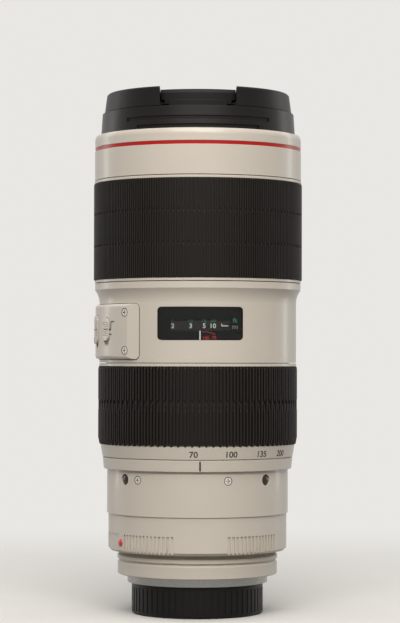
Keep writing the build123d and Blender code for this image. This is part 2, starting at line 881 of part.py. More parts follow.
# Ring motor on the guide tube: a toothed stator and the rotor above it
stator_height = 7.0
rotor_height = 3.7
motor_wall = 3.1
tooth_count = 36
tooth_slot_width = 0.8
tooth_slot_depth = 2.2
motor_radius = guide_radius + motor_wall


def make_motor_stator():
    body = ring(guide_radius + seat_gap, motor_radius, stator_z, stator_z + stator_height)
    slot = Box(tooth_slot_width, 2 * motor_wall, 2 * tooth_slot_depth)
    slot = Pos(0, -guide_radius - motor_wall / 2, stator_z + stator_height) * slot
    return body - [Rot(0, 0, index * 360 / tooth_count) * slot for index in range(tooth_count)]


def make_motor_rotor():
    low = stator_z + stator_height + running_gap
    return ring(guide_radius + running_gap, motor_radius, low, low + rotor_height)


# Focus ring on the front barrel's sleeve, and its rubber grip in three rows
focus_low_lip_step = 0.45
focus_high_lip_step = 0.2
focus_rib_count = 128
focus_rib_depth = 0.5
focus_groove_rises = (13.9, 27.5)
focus_groove_height = 0.7
focus_groove_depth = 0.5


def make_focus_ring():
    low_lip = focus_grip_radius - focus_low_lip_step
    high_lip = focus_grip_radius - focus_high_lip_step
    top_z = focus_lip_z + focus_lip_height
    return turned(
        (focus_bore, focus_ring_z),
        (low_lip, focus_ring_z),
        (low_lip, focus_grip_z),
        (focus_carrier_radius, focus_grip_z),
        (focus_carrier_radius, focus_lip_z),
        (high_lip, focus_lip_z),
        (high_lip, top_z),
        (focus_bore, top_z),
    )


def make_focus_grip():
    bore = focus_carrier_radius + seat_gap
    face = ribbed_face(focus_grip_radius, focus_rib_depth, focus_rib_count) - Circle(bore)
    body = Pos(0, 0, focus_grip_z + seat_gap) * extrude(face, focus_grip_height - 2 * seat_gap)
    floor = focus_grip_radius - focus_groove_depth
    for rise in focus_groove_rises:
        low = focus_grip_z + rise
        body -= ring(floor, focus_grip_radius + cut_overrun, low, low + focus_groove_height)
    return body


# Front barrel: the sleeve under the focus ring, a web, the white shell and a spigot
front_web = 2.0
spigot_rise = 5.3
spigot_gap_step = 2.0
spigot_wall = 1.6
front_cell_wall = 2.05
spigot_radius = front_shell_radius - spigot_gap_step
spigot_bore = spigot_radius - spigot_wall
spigot_top_z = red_ring_z + spigot_rise
front_web_top_z = front_shell_z + front_web
front_socket_radius = guide_radius + seat_gap + front_cell_wall


def make_front_barrel():
    return turned(
        (focus_sleeve_bore, socket_z + seat_gap),
        (focus_sleeve_radius, socket_z + seat_gap),
        (focus_sleeve_radius, front_shell_z),
        (front_shell_radius, front_shell_z),
        (front_shell_radius, red_ring_z),
        (spigot_radius, red_ring_z),
        (spigot_radius, spigot_top_z),
        (spigot_bore, spigot_top_z),
        (spigot_bore, front_web_top_z),
        (front_socket_radius + seat_gap, front_web_top_z),
        (front_socket_radius + seat_gap, front_shell_z),
        (focus_sleeve_bore, front_shell_z),
    )


# The red ring and the white rim in front of it, both on the spigot
red_ring_step = 0.2
front_rim_step = 0.05
front_rim_round = 0.55
front_rim_round_height = 2.2
front_lip_step = 0.1


def make_red_ring():
    radius = front_shell_radius - red_ring_step
    return ring(spigot_radius + seat_gap, radius, red_ring_z, front_rim_z)


def make_front_rim():
    radius = front_shell_radius - front_rim_step
    foot = (radius, 0, filter_ring_z - front_rim_round_height)
    shoulder = TangentArc(foot, (radius - front_rim_round, 0, filter_ring_z), tangent=(0, 0, 1))
    rest = Polyline(
        shoulder @ 1,
        (filter_ring_radius + front_lip_step, 0, filter_ring_z),
        (filter_ring_radius + front_lip_step, 0, spigot_top_z),
        (spigot_radius + seat_gap, 0, spigot_top_z),
        (spigot_radius + seat_gap, 0, front_rim_z),
        (radius, 0, front_rim_z),
        foot,
    )
    return revolve(make_face([shoulder, rest]), Axis.Z, 360)


# Filter ring: thread inside, two pairs of bayonet grooves for the hood outside
plug_depth = 3.0
plug_wall = 1.1
filter_ledge_width = 1.3
filter_ledge_height = 1.8
filter_ledge_rise = 1.8
hood_groove_depth = 0.9
hood_groove_heights = (1.6, 1.3)
hood_groove_rises = (3.7, 0.5)
hood_groove_halves = (46.0, 38.0)
plug_radius = spigot_bore - seat_gap
filter_ledge_z = filter_ring_z + filter_ledge_rise
filter_bore_z = filter_ledge_z + filter_ledge_height


def make_filter_ring():
    body = turned(
        (plug_radius - plug_wall, spigot_top_z - plug_depth),
        (plug_radius, spigot_top_z - plug_depth),
        (plug_radius, spigot_top_z + seat_gap),
        (filter_ring_radius, spigot_top_z + seat_gap),
        (filter_ring_radius, filter_ring_z),
        (filter_top_radius, filter_top_z),
        (filter_thread_radius, filter_top_z),
        (filter_thread_radius, filter_bore_z),
        (filter_thread_radius - filter_ledge_width, filter_bore_z),
        (filter_thread_radius - filter_ledge_width, filter_ledge_z),
        (plug_radius - plug_wall, filter_ledge_z),
    )
    for height, rise, half in zip(hood_groove_heights, hood_groove_rises, hood_groove_halves):
        low = filter_ring_z + rise
        reach = (filter_ring_radius - hood_groove_depth, filter_ring_radius + cut_overrun)
        for middle in (0, 180):
            body -= sector(*reach, low, low + height, middle - half, middle + half)
    return body


# Front cell: pushed on the guide tube's top, screwed on the front barrel's web
front_cell_depth = 3.9
front_flange_height = 2.0
front_tube_wall = 1.9
front_glass_seat = 2.8
front_glass_drop = 4.9
front_glass_edge = 4.0
front_glass_sag = 5.5
front_glass_rear_sag = -2.5
front_tube_radius = plug_radius - plug_wall - seat_gap
front_tube_bore = front_tube_radius - front_tube_wall
front_tube_top_z = filter_ledge_z - running_gap
front_glass_z = front_tube_top_z - front_glass_drop
front_glass_radius = front_tube_bore - seat_gap


def make_front_cell():
    flange_top_z = front_web_top_z + front_flange_height
    ledge_bore = front_tube_bore - front_glass_seat
    return turned(
        (guide_radius + seat_gap, front_shell_z - front_cell_depth),
        (front_socket_radius, front_shell_z - front_cell_depth),
        (front_socket_radius, front_web_top_z),
        (plug_radius, front_web_top_z),
        (plug_radius, flange_top_z),
        (front_tube_radius, flange_top_z),
        (front_tube_radius, front_tube_top_z),
        (front_tube_bore, front_tube_top_z),
        (front_tube_bore, front_glass_z - seat_gap),
        (ledge_bore, front_glass_z - seat_gap),
        (ledge_bore, guide_top_z + seat_gap),
        (guide_radius + seat_gap, guide_top_z + seat_gap),
    )


# Rear cell: a flange in the guide tube and a tube that reaches down into the mount
rear_cell_rise = 11.3
rear_flange_height = 2.0
rear_tube_gap = 1.6
rear_tube_wall = 1.7
rear_glass_rise = 6.7
rear_glass_edge = 5.0
rear_glass_sag = 1.4
rear_glass_rear_sag = -0.8
rear_glass_seat = 1.0
rear_cell_z = web_z + rear_cell_rise
inner_seat_radius = guide_bore - seat_gap
rear_tube_radius = mount_tube_bore - rear_tube_gap
rear_tube_bore = rear_tube_radius - rear_tube_wall
rear_glass_z = flange_z + rear_glass_rise


def make_rear_cell():
    return turned(
        (rear_tube_bore, flange_z),
        (rear_tube_radius, flange_z),
        (rear_tube_radius, rear_cell_z),
        (inner_seat_radius, rear_cell_z),
        (inner_seat_radius, rear_cell_z + rear_flange_height),
        (rear_tube_bore, rear_cell_z + rear_flange_height),
        (rear_tube_bore, rear_glass_z),
        (rear_tube_bore - rear_glass_seat, rear_glass_z),
        (rear_tube_bore - rear_glass_seat, rear_glass_z - rear_glass_seat),
        (rear_tube_bore, rear_glass_z - rear_glass_seat),
    )


# Circuit board on the rear barrel's web, with its chips
board_bore = 24.5
board_thickness = 1.2
board_gap_start = 150.0
board_gap_span = 24.0
chip_size = 5.0
chip_height = 1.4
chip_circle = 29.0
chip_angles = (-120.0, -75.0, -30.0, 20.0, 65.0, 110.0)


def make_circuit_board():
    radius = guide_bore - running_gap
    start = board_gap_start + board_gap_span
    board = sector(board_bore, radius, web_z, web_z + board_thickness, start, board_gap_start + 360)
    chip = Box(chip_size, chip_size, chip_height, align=(Align.CENTER, Align.CENTER, Align.MIN))
    place = Pos(0, -chip_circle, web_z + board_thickness)
    return board + [Rot(0, 0, angle) * place * chip for angle in chip_angles]


# Stabilizer: a frame that slides across on keys in its housing, a cell that slides on it
stabilizer_rise = 15.3
stabilizer_height = 10.0
stabilizer_floor = 1.5
stabilizer_wall = 2.4
stabilizer_travel = 0.8
frame_thickness = 2.0
frame_width = 6.2
frame_key_length = 4.0
frame_key_width = 1.6
frame_key_height = 0.8
steady_tube_radius = 21.7
steady_tube_wall = 1.6
steady_tube_drop = 1.5
steady_tube_rise = 4.0
steady_flange = 4.3
steady_flange_height = 1.6
steady_key_length = 2.2
steady_glass_edge = 3.4
steady_glass_sag = 1.5
steady_glass_rear_sag = -0.6
clip_height = 1.2
clip_span = 24.0
clip_overlap = 1.2
stabilizer_z = web_z + stabilizer_rise
stabilizer_bore = inner_seat_radius - stabilizer_wall
frame_z = stabilizer_z + stabilizer_floor + running_gap
frame_bore = steady_tube_radius + stabilizer_travel + 2 * running_gap
frame_radius = frame_bore + frame_width
steady_z = frame_z + frame_thickness + running_gap
steady_glass_bore = steady_tube_radius - steady_tube_wall
steady_glass_z = steady_z + steady_flange_height / 2
frame_key_x = frame_radius - frame_key_length / 2 - stabilizer_travel
steady_key_y = steady_tube_radius + steady_flange - steady_key_length / 2 - stabilizer_travel


def key_pair(length, width, height, reach, z, turn):
    """Two keys on opposite sides of the axis, standing up from a height."""
    key = Box(length, width, height, align=(Align.CENTER, Align.CENTER, Align.MIN))
    return [Pos(0, 0, z) * Rot(0, 0, turn + half) * Pos(reach, 0, 0) * key for half in (0, 180)]


def make_stabilizer_housing():
    floor_z = stabilizer_z + stabilizer_floor
    floor_bore = frame_bore + stabilizer_travel
    body = turned(
        (floor_bore, stabilizer_z),
        (inner_seat_radius, stabilizer_z),
        (inner_seat_radius, stabilizer_z + stabilizer_height),
        (stabilizer_bore, stabilizer_z + stabilizer_height),
        (stabilizer_bore, floor_z),
        (floor_bore, floor_z),
    )
    key_top = running_gap + frame_key_height
    body += key_pair(frame_key_length, frame_key_width, key_top, frame_key_x, floor_z, 0)
    clip_z = steady_z + steady_flange_height + running_gap
    inner = steady_tube_radius + steady_flange - clip_overlap
    for angle in pin_angles:
        reach = (inner, stabilizer_bore + stabilizer_wall / 2, clip_z, clip_z + clip_height)
        body += sector(*reach, angle - clip_span / 2, angle + clip_span / 2)
    return body


def make_stabilizer_frame():
    body = ring(frame_bore, frame_radius, frame_z, frame_z + frame_thickness)
    width = frame_key_width + 2 * pin_gap
    depth = frame_key_height + running_gap
    body -= key_pair(2 * frame_width, width, depth, frame_key_x, frame_z, 0)
    top_z = frame_z + frame_thickness
    return body + key_pair(steady_key_length, frame_key_width, depth, steady_key_y, top_z, 90)


def make_stabilizer_cell():
    low_z = steady_z - steady_tube_drop
    high_z = steady_z + steady_tube_rise
    flange_radius_out = steady_tube_radius + steady_flange
    seat_z = steady_glass_z - steady_glass_edge / 2
    body = turned(
        (steady_glass_bore - glass_seat_width, low_z),
        (steady_tube_radius, low_z),
        (steady_tube_radius, steady_z),
        (flange_radius_out, steady_z),
        (flange_radius_out, steady_z + steady_flange_height),
        (steady_tube_radius, steady_z + steady_flange_height),
        (steady_tube_radius, high_z),
        (steady_glass_bore, high_z),
        (steady_glass_bore, seat_z),
        (steady_glass_bore - glass_seat_width, seat_z),
    )
    width = frame_key_width + 2 * pin_gap
    depth = frame_key_height + running_gap
    return body - key_pair(2 * steady_flange, width, depth, steady_key_y, steady_z, 90)


# Iris: a housing with eight pivots, a drive ring, and eight blades one above the other
iris_rise = 26.3
iris_height = 6.5
iris_floor = 1.0
iris_depth = 14.65
iris_ledge = 2.0
iris_wall = 0.9
blade_count = 8
blade_thickness = 0.2
blade_pitch = 0.35
blade_width = 4.8
blade_start = -8.0
blade_end = 95.0
blade_tail_width = 3.2
blade_swing = 36.0
drive_swing = 3.75
pivot_reach = 8.0
pivot_radius = 0.8
drive_pin_reach = 3.3
drive_pin_radius = 0.5
drive_ring_height = 1.0
drive_ring_width = 4.9
iris_clip_height = 0.5
iris_z = web_z + iris_rise
blade_z = iris_z + iris_floor + running_gap
iris_opening = inner_seat_radius - iris_depth
blade_inner = iris_opening + 2 * running_gap
blade_outer = blade_inner + blade_width
pivot_circle = iris_opening + pivot_reach
blade_stack = (blade_count - 1) * blade_pitch + blade_thickness
iris_ledge_z = blade_z + blade_stack + running_gap
drive_ring_z = iris_ledge_z + running_gap
drive_ring_radius = inner_seat_radius - iris_wall + pin_gap - running_gap
drive_pin_circle = pivot_circle + drive_pin_reach * cos(radians(blade_swing / 2))


def blade_angles():
    return [index * 360 / blade_count for index in range(blade_count)]


def make_iris_housing():
    ledge_bore = inner_seat_radius - iris_ledge
    wall_bore = drive_ring_radius + running_gap
    body = turned(
        (iris_opening, iris_z),
        (inner_seat_radius, iris_z),
        (inner_seat_radius, iris_z + iris_height),
        (wall_bore, iris_z + iris_height),
        (wall_bore, iris_ledge_z),
        (ledge_bore, iris_ledge_z),
        (ledge_bore, iris_z + iris_floor),
        (iris_opening, iris_z + iris_floor),
    )
    pivot = Pos(0, -pivot_circle, iris_z) * extrude(Circle(pivot_radius), iris_ledge_z - iris_z)
    body += [Rot(0, 0, angle) * pivot for angle in blade_angles()]
    clip_z = drive_ring_z + drive_ring_height + running_gap
    for angle in pin_angles:
        reach = (wall_bore - iris_wall, wall_bore + iris_wall / 2, clip_z, clip_z + iris_clip_height)
        body += sector(*reach, angle - clip_span / 2, angle + clip_span / 2)
    return body


def make_iris_drive_ring():
    inner = drive_ring_radius - drive_ring_width
    body = ring(inner, drive_ring_radius, drive_ring_z, drive_ring_z + drive_ring_height)
    width = 2 * (drive_pin_radius + pin_gap)
    slot = extrude(SlotCenterToCenter(2 * pin_gap, width, rotation=90), drive_ring_height + 2 * cut_overrun)
    slot = Pos(0, -drive_pin_circle - pin_gap, drive_ring_z - cut_overrun) * slot
    return body - [Rot(0, 0, angle - drive_swing / 2) * slot for angle in blade_angles()]


def make_iris_blade(index):
    """One blade at rest, folded back so that the opening is clear."""
    low = blade_z + index * blade_pitch
    blade = sector(blade_inner, blade_outer, low, low + blade_thickness, blade_start, blade_end)
    tail_start = (blade_inner + blade_outer) / 2
    tail_end = pivot_circle + drive_pin_reach + 2 * drive_pin_radius
    tail = Box(blade_tail_width, tail_end - tail_start, blade_thickness)
    blade += Pos(0, -(tail_start + tail_end) / 2, low + blade_thickness / 2) * tail
    hole = extrude(Circle(pivot_radius + pin_gap), 2 * cut_overrun)
    blade -= Pos(0, -pivot_circle, low - cut_overrun) * hole
    pin = extrude(Circle(drive_pin_radius), drive_ring_z + drive_ring_height - low)
    turn = Pos(0, -pivot_circle, low) * Rot(0, 0, -blade_swing / 2) * Pos(0, -drive_pin_reach, 0)
    blade += turn * pin
    return Rot(0, 0, index * 360 / blade_count) * blade


# Front cap: a plate on a wall, with a channel each side for a sprung pinch tab
cap_step = 0.9
cap_taper = 1.0
cap_top_edge = 0.6
cap_plate = 2.3
cap_wall = 3.5
cap_skirt_height = 2.5
cap_skirt_gap = 0.5
channel_half = 15.8
channel_wall = 1.5
channel_floor_rise = 0.8
channel_floor = 1.2
rim_opening_inner = 33.0
spring_radius = 1.7
spring_wire = 0.6
spring_offset = 9.0
spring_pocket = 2.9
spring_block = 3.7
tab_travel = 2.0
tab_inner = 10.0
tab_shoulder = 15.3
tab_tongue_drop = 0.3
tab_top_drop = 1.25
tab_face_step = 2.0
tab_chamfer = 0.9
tab_chamfer_height = 1.45
tab_outer_wall = 2.7
tab_drop = 1.3
leg_half = 12.0
leg_drop = 3.7
well_half = 11.5
well_start = 19.5
well_end = 32.5
well_depth = 2.8
well_corner = 1.2
well_rib_count = 4
well_rib_pitch = 2.6
well_rib_width = 0.9
well_rib_height = 0.6
cap_foot_radius = filter_top_radius - cap_step
cap_top_radius = cap_foot_radius - cap_taper
cap_bore = cap_foot_radius - cap_wall
cap_skirt_radius = filter_thread_radius - cap_skirt_gap
cap_plate_z = front_cap_top_z - cap_plate
channel_floor_z = front_cap_z + channel_floor_rise
channel_z = channel_floor_z + channel_floor
channel_inner = tab_inner - tab_travel - running_gap
top_opening_inner = tab_shoulder - tab_travel - running_gap
spring_z = (channel_z + running_gap + cap_plate_z - tab_tongue_drop) / 2
tab_top_z = front_cap_top_z - tab_top_drop
tab_face_radius = cap_top_radius - tab_face_step
tab_low_z = channel_z + running_gap
tab_skirt_inner = tab_face_radius - tab_outer_wall
channel_floor_reach = tab_skirt_inner - tab_travel - running_gap


def box_between(x_half, y_low, y_high, z_low, z_high):
    """A box centred on x = 0, given by its reach in y and z."""
    box = Box(2 * x_half, y_high - y_low, z_high - z_low)
    return Pos(0, (y_low + y_high) / 2, (z_low + z_high) / 2) * box


def spring_places(start):
    for side in (-1, 1):
        yield Pos(side * spring_offset, start, spring_z) * Rot(-90, 0, 0)


def make_front_cap():
    top_z = front_cap_top_z
    body = turned(
        (cap_bore, front_cap_z - cap_skirt_height),
        (cap_skirt_radius, front_cap_z - cap_skirt_height),
        (cap_skirt_radius, front_cap_z),
        (cap_foot_radius, front_cap_z),
        (cap_top_radius, top_z - cap_top_edge),
        (cap_top_radius - cap_top_edge, top_z),
        (0, top_z),
        (0, cap_plate_z),
        (cap_bore, cap_plate_z),
    )
    out = cap_foot_radius + cut_overrun
    above = top_z + cut_overrun
    wide = channel_half + channel_wall
    block_start = channel_inner - spring_block
    side = box_between(wide, block_start, channel_floor_reach, channel_floor_z, cap_plate_z)
    side -= box_between(channel_half, channel_inner, out, channel_z, cap_plate_z)
    pocket = extrude(Circle(spring_radius + seat_gap), spring_pocket + cut_overrun)
    side -= [place * pocket for place in spring_places(channel_inner - spring_pocket)]
    opening = box_between(channel_half, top_opening_inner, out, channel_z, above)
    rim_low = front_cap_z - cap_skirt_height - cut_overrun
    opening += box_between(channel_half, rim_opening_inner, out, rim_low, above)
    for turn in (0, 180):
        body += Rot(0, 0, turn) * side
        body -= Rot(0, 0, turn) * opening
    return body


def make_pinch_tab(turn):
    half = channel_half - running_gap
    profile = turned(
        (0, channel_z - tab_drop),
        (tab_face_radius, channel_z - tab_drop),
        (tab_face_radius, tab_top_z - tab_chamfer_height),
        (tab_face_radius - tab_chamfer, tab_top_z),
        (0, tab_top_z),
    )
    tab = box_between(half, tab_shoulder, cap_foot_radius, tab_low_z, tab_top_z)
    tab += box_between(half, tab_skirt_inner, cap_foot_radius, channel_z - tab_drop, tab_low_z)
    tab &= profile
    tongue_end = tab_shoulder + tab_tongue_drop
    tab += box_between(half, tab_inner, tongue_end, tab_low_z, cap_plate_z - tab_tongue_drop)
    leg_low = front_cap_z - leg_drop
    leg_high = tab_low_z
    leg = box_between(leg_half, tab_skirt_inner, cap_foot_radius, leg_low, leg_high)
    tab += leg & ring(0, cap_skirt_radius, leg_low, leg_high)
    well_length = well_end - well_start
    well = Pos(0, (well_start + well_end) / 2, tab_top_z - well_depth) * round_slab(
        2 * well_half, well_length, well_corner, well_depth + cut_overrun
    )
    tab -= well
    rib = Box(2 * well_half, well_rib_width, 2 * well_rib_height)
    floor_z = tab_top_z - well_depth
    first = well_end - well_rib_pitch * well_rib_count
    tab += [Pos(0, first + index * well_rib_pitch, floor_z) * rib for index in range(well_rib_count)]
    return Rot(0, 0, turn) * tab


def make_tab_springs():
    start = channel_inner - spring_pocket
    coil = extrude(Circle(spring_radius) - Circle(spring_radius - spring_wire), tab_inner - start)
    return [Rot(0, 0, turn) * place * coil for turn in (0, 180) for place in spring_places(start)]


def all_parts():
    yield "rear_cap", make_rear_cap()
    yield "bayonet_mount", make_bayonet_mount()
    yield "mount_screws", make_mount_screws()
    yield "contact_block", make_contact_block()
    yield "contact_pins", make_contact_pins()
    yield "mount_ring", make_mount_ring()
    yield "rear_barrel", make_rear_barrel()
    yield "collar_studs", make_collar_studs()
    yield "barrel_screws", make_barrel_screws()
    yield "circuit_board", make_circuit_board()
    yield "rear_cell", make_rear_cell()
    yield "rear_element", lens_glass(
        rear_tube_bore - seat_gap, rear_glass_edge, rear_glass_sag, rear_glass_rear_sag, rear_glass_z
    )
    yield "guide_tube", make_guide_tube()
    yield "cam_barrel", make_cam_barrel()
    yield "zoom_ring", make_zoom_ring()
    yield "zoom_grip", make_zoom_grip()
    yield "zoom_keys", make_zoom_keys()
    yield "main_barrel", make_main_barrel()
    yield "window_mask", make_window_mask()
    yield "distance_window", make_distance_window()
    yield "distance_drum", make_distance_drum()
    yield "switch_panel", make_switch_panel()
    for number, (angle, length) in enumerate(zip(switch_angles, switch_lengths), 1):
        yield f"switch_{number}", make_switch_knob(angle, length)
    yield "motor_stator", make_motor_stator()
    yield "motor_rotor", make_motor_rotor()
    yield "focus_ring", make_focus_ring()
    yield "focus_grip", make_focus_grip()
    yield "front_barrel", make_front_barrel()
    yield "red_ring", make_red_ring()
    yield "front_rim", make_front_rim()
    yield "filter_ring", make_filter_ring()
    yield "front_cell", make_front_cell()
    yield "front_element", lens_glass(
        front_glass_radius, front_glass_edge, front_glass_sag, front_glass_rear_sag, front_glass_z
    )
    pin_end = cam_radius - pin_tip_gap
    size = (variator_glass_radius, variator_glass_edge)
    yield "variator_cell", make_cell(variator_z, variator_half, *size, pin_end)
    yield "variator_element", make_cell_glass(variator_z, *size, variator_sag, variator_sag)
    size = (compensator_glass_radius, compensator_glass_edge)
    yield "compensator_cell", make_cell(compensator_z, compensator_half, *size, pin_end)
    yield "compensator_element", make_cell_glass(compensator_z, *size, compensator_sag, compensator_rear_sag)
    size = (focus_glass_radius, focus_glass_edge)
    yield "focus_cell", make_cell(focus_z, focus_half, *size, drum_radius - running_gap)
    yield "focus_element", make_cell_glass(focus_z, *size, focus_front_sag, focus_rear_sag)
    yield "stabilizer_housing", make_stabilizer_housing()
    yield "stabilizer_frame", make_stabilizer_frame()
    yield "stabilizer_cell", make_stabilizer_cell()
    size = (steady_glass_bore - seat_gap, steady_glass_edge)
    sags = (steady_glass_sag, steady_glass_rear_sag)
    yield "stabilizer_element", make_cell_glass(steady_glass_z, *size, *sags)
    yield "iris_housing", make_iris_housing()
    yield "iris_drive_ring", make_iris_drive_ring()
    for index in range(blade_count):
        yield f"iris_blade_{index + 1}", make_iris_blade(index)
    yield "front_cap", make_front_cap()
    yield "pinch_tab_front", make_pinch_tab(180)
    yield "pinch_tab_rear", make_pinch_tab(0)
    yield "tab_springs", make_tab_springs()


os.makedirs("parts", exist_ok=True)
for name, shape in all_parts():
    whole = Compound(children=shape) if isinstance(shape, list) else shape
    export_step(whole, f"parts/{name}.step")
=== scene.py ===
# %% [markdown]
# A long zoom lens stands on its rear cap. On the real thing the barrel is a stack of turned
# aluminium rings in warm white enamel, with two rubber grips, a scale window and black caps.
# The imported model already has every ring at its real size, so this file works round it:
# it gives each ring its finish, rounds the machined edges, and models what is finer than that,
# such as rubber ribs, printed numbers and the red mounting dot.

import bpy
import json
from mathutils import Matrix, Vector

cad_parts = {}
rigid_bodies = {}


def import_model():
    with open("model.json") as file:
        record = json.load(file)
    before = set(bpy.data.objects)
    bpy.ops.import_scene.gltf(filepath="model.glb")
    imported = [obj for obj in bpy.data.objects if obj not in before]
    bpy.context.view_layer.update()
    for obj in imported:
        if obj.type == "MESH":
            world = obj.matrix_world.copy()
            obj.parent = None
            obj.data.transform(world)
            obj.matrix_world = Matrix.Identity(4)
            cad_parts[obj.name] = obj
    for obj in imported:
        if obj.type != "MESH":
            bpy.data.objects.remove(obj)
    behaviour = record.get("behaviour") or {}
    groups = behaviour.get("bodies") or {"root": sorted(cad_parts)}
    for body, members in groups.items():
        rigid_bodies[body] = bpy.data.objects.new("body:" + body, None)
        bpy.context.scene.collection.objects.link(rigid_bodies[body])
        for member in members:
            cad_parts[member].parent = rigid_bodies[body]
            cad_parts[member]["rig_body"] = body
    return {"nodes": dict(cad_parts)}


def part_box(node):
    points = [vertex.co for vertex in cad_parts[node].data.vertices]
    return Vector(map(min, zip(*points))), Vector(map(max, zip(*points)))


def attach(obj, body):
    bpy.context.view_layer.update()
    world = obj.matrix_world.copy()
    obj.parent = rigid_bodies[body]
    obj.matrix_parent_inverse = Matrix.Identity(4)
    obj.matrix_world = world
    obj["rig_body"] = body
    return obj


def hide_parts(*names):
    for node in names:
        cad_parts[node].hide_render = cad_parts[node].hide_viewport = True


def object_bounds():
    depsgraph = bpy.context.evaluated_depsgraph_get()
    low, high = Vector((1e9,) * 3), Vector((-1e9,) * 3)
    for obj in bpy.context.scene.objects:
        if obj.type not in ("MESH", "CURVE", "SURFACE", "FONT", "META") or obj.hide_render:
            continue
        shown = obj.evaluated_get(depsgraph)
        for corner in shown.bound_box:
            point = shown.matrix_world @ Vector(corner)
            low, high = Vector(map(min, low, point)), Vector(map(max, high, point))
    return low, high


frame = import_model()
cad_low, cad_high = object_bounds()
print("the packed model measures", [round(side, 4) for side in cad_high - cad_low], "m")

# %% [markdown]
# Blender counts in metres, while a lens is drawn in millimetres, so sizes below are written as a
# number times MM. The Standard view shows colours as they are written.

# %% Modules and the unit of the lesson
import json
import math

import bmesh
import bpy
from mathutils import Quaternion, Vector
from mathutils.bvhtree import BVHTree
from mathutils.interpolate import poly_3d_calc

MM = 0.001
scene = bpy.context.scene
scene.view_settings.view_transform = "Standard"
print("one millimetre is", MM, "m")

# %% [markdown]
# The camera comes first, because it decides how fine each detail has to be. The photograph was
# taken from straight in front and nearly a metre away, a little below the middle of the lens.
# Rings above the camera show their lower edges, and rings below it show their upper ones. The
# distance was found from how much those ellipses open, and the focal length from the size.

# %% Camera at the viewpoint of the photograph
camera_distance = 959.3 * MM
camera_height = 108.3 * MM
camera_rise = math.radians(1.177)
camera_turn = math.radians(0.057)
camera_roll = math.radians(0.1)
focal_length = 129.8
sensor_width = 36
nearest_seen = 0.05
camera_data = bpy.data.cameras.new("camera")
camera_data.lens = focal_length
camera_data.sensor_width = sensor_width
camera_data.clip_start = nearest_seen
camera = bpy.data.objects.new("camera", camera_data)
camera.location = (0, -camera_distance, camera_height)
sight = Vector((math.sin(camera_turn), math.cos(camera_turn), math.tan(camera_rise)))
camera.rotation_mode = "QUATERNION"
camera.rotation_quaternion = sight.to_track_quat("-Z", "Y") @ Quaternion((0, 0, 1), camera_roll)
scene.collection.objects.link(camera)
scene.camera = camera
print("camera", round(camera_distance, 3), "m away,", round(camera_height, 3), "m up")

# %% [markdown]
# Three kinds of light do what a small studio does. A large soft box in front draws the pale
# band down the middle of the barrel. Two tall strips behind the lens draw its edges, as in the
# photograph, but in plain white. The world fills the rest with a weak even light. The camera
# sees a pale backdrop in its place, also in reflections and through glass, so that metal and
# glass show the background that they stand in.


# %% Lamps
def soft_box(name, place, aim, width, height, power, tint):
    """A rectangular area lamp at a place, turned towards a point."""
    lamp_data = bpy.data.lights.new(name, "AREA")
    lamp_data.shape = "RECTANGLE"
    lamp_data.size = width
    lamp_data.size_y = height
    lamp_data.energy = power
    lamp_data.color = tint
    lamp = bpy.data.objects.new(name, lamp_data)
    lamp.location = place
    lamp.rotation_euler = (Vector(aim) - Vector(place)).to_track_quat("-Z", "Y").to_euler()
    lamp.visible_camera = False
    scene.collection.objects.link(lamp)
    print("lamp", name, power, "W")


lens_middle = (0, 0, (cad_low.z + cad_high.z) / 2)
warm_white = (1.0, 0.97, 0.93)
plain_white = (1, 1, 1)
# Each line is a name, a place, the width and height in metres, the power in watts and a tint.
lamps = (
    ("front_box", (0, -1.1, 0.85), 1.2, 0.5, 15, warm_white),
    ("left_strip", (-0.75, 0.45, 0.3), 0.15, 0.9, 1.4, plain_white),
    ("right_strip", (0.75, 0.45, 0.3), 0.15, 0.9, 1.4, plain_white),
    ("top_box", (0, -0.25, 1.2), 0.9, 0.9, 7, plain_white),
)
for name, place, width, height, power, tint in lamps:
    soft_box(name, place, lens_middle, width, height, power, tint)


# %% [markdown]
# Two helpers serve all the finishes. Colours are written as sRGB hex values, as a paint program
# shows them, and shaders expect linear ones, so one function turns the first into the second.
# The other adds a node to a material or to the world, with its settings and its links.


# %% Linear colours and one way to add a node
def linear(hex_colour):
    """Linear red, green, blue and alpha of a colour such as "#D5CCC0"."""
    shares = [int(hex_colour[start : start + 2], 16) / 255 for start in (1, 3, 5)]
    curve = [
        share / 12.92 if share <= 0.04045 else ((share + 0.055) / 1.055) ** 2.4
        for share in shares
    ]
    return (*curve, 1)


def add_node(tree, kind, values=None, links=None):
    """Add one node, set its sockets or properties, and link its inputs to (node, output) pairs."""
    node = tree.nodes.new("ShaderNode" + kind)
    for name, value in (values or {}).items():
        if name in node.inputs:
            node.inputs[name].default_value = value
        else:
            setattr(node, name, value)
    for name, (source, output) in (links or {}).items():
        tree.links.new(source.outputs[output], node.inputs[name])
    return node


print("a middle grey, #808080, is", round(linear("#808080")[0], 3), "in linear light")

# %% [markdown]
# The world is two backgrounds in one. What the camera sees, straight or in a reflection or
# through glass, is the pale backdrop at its full colour. All other light from it is only the
# weak fill, so that the backdrop's brightness doesn't flood the lens.

# %% World and backdrop
fill_strength = 0.12
backdrop = linear("#E9E7E3")
world = bpy.data.worlds.new("studio")
scene.world = world
world.use_nodes = True
tree = world.node_tree
tree.nodes.clear()


def seen_directly(tree):
    """A node that is 1 for camera, glossy and transmission rays, and 0 for bounced light."""
    rays = add_node(tree, "LightPath")
    first = (rays, "Is Camera Ray")
    for ray in ("Is Glossy Ray", "Is Transmission Ray"):
        first = (add_node(tree, "Math", {"operation": "MAXIMUM"}, {0: first, 1: (rays, ray)}), 0)
    return first[0]


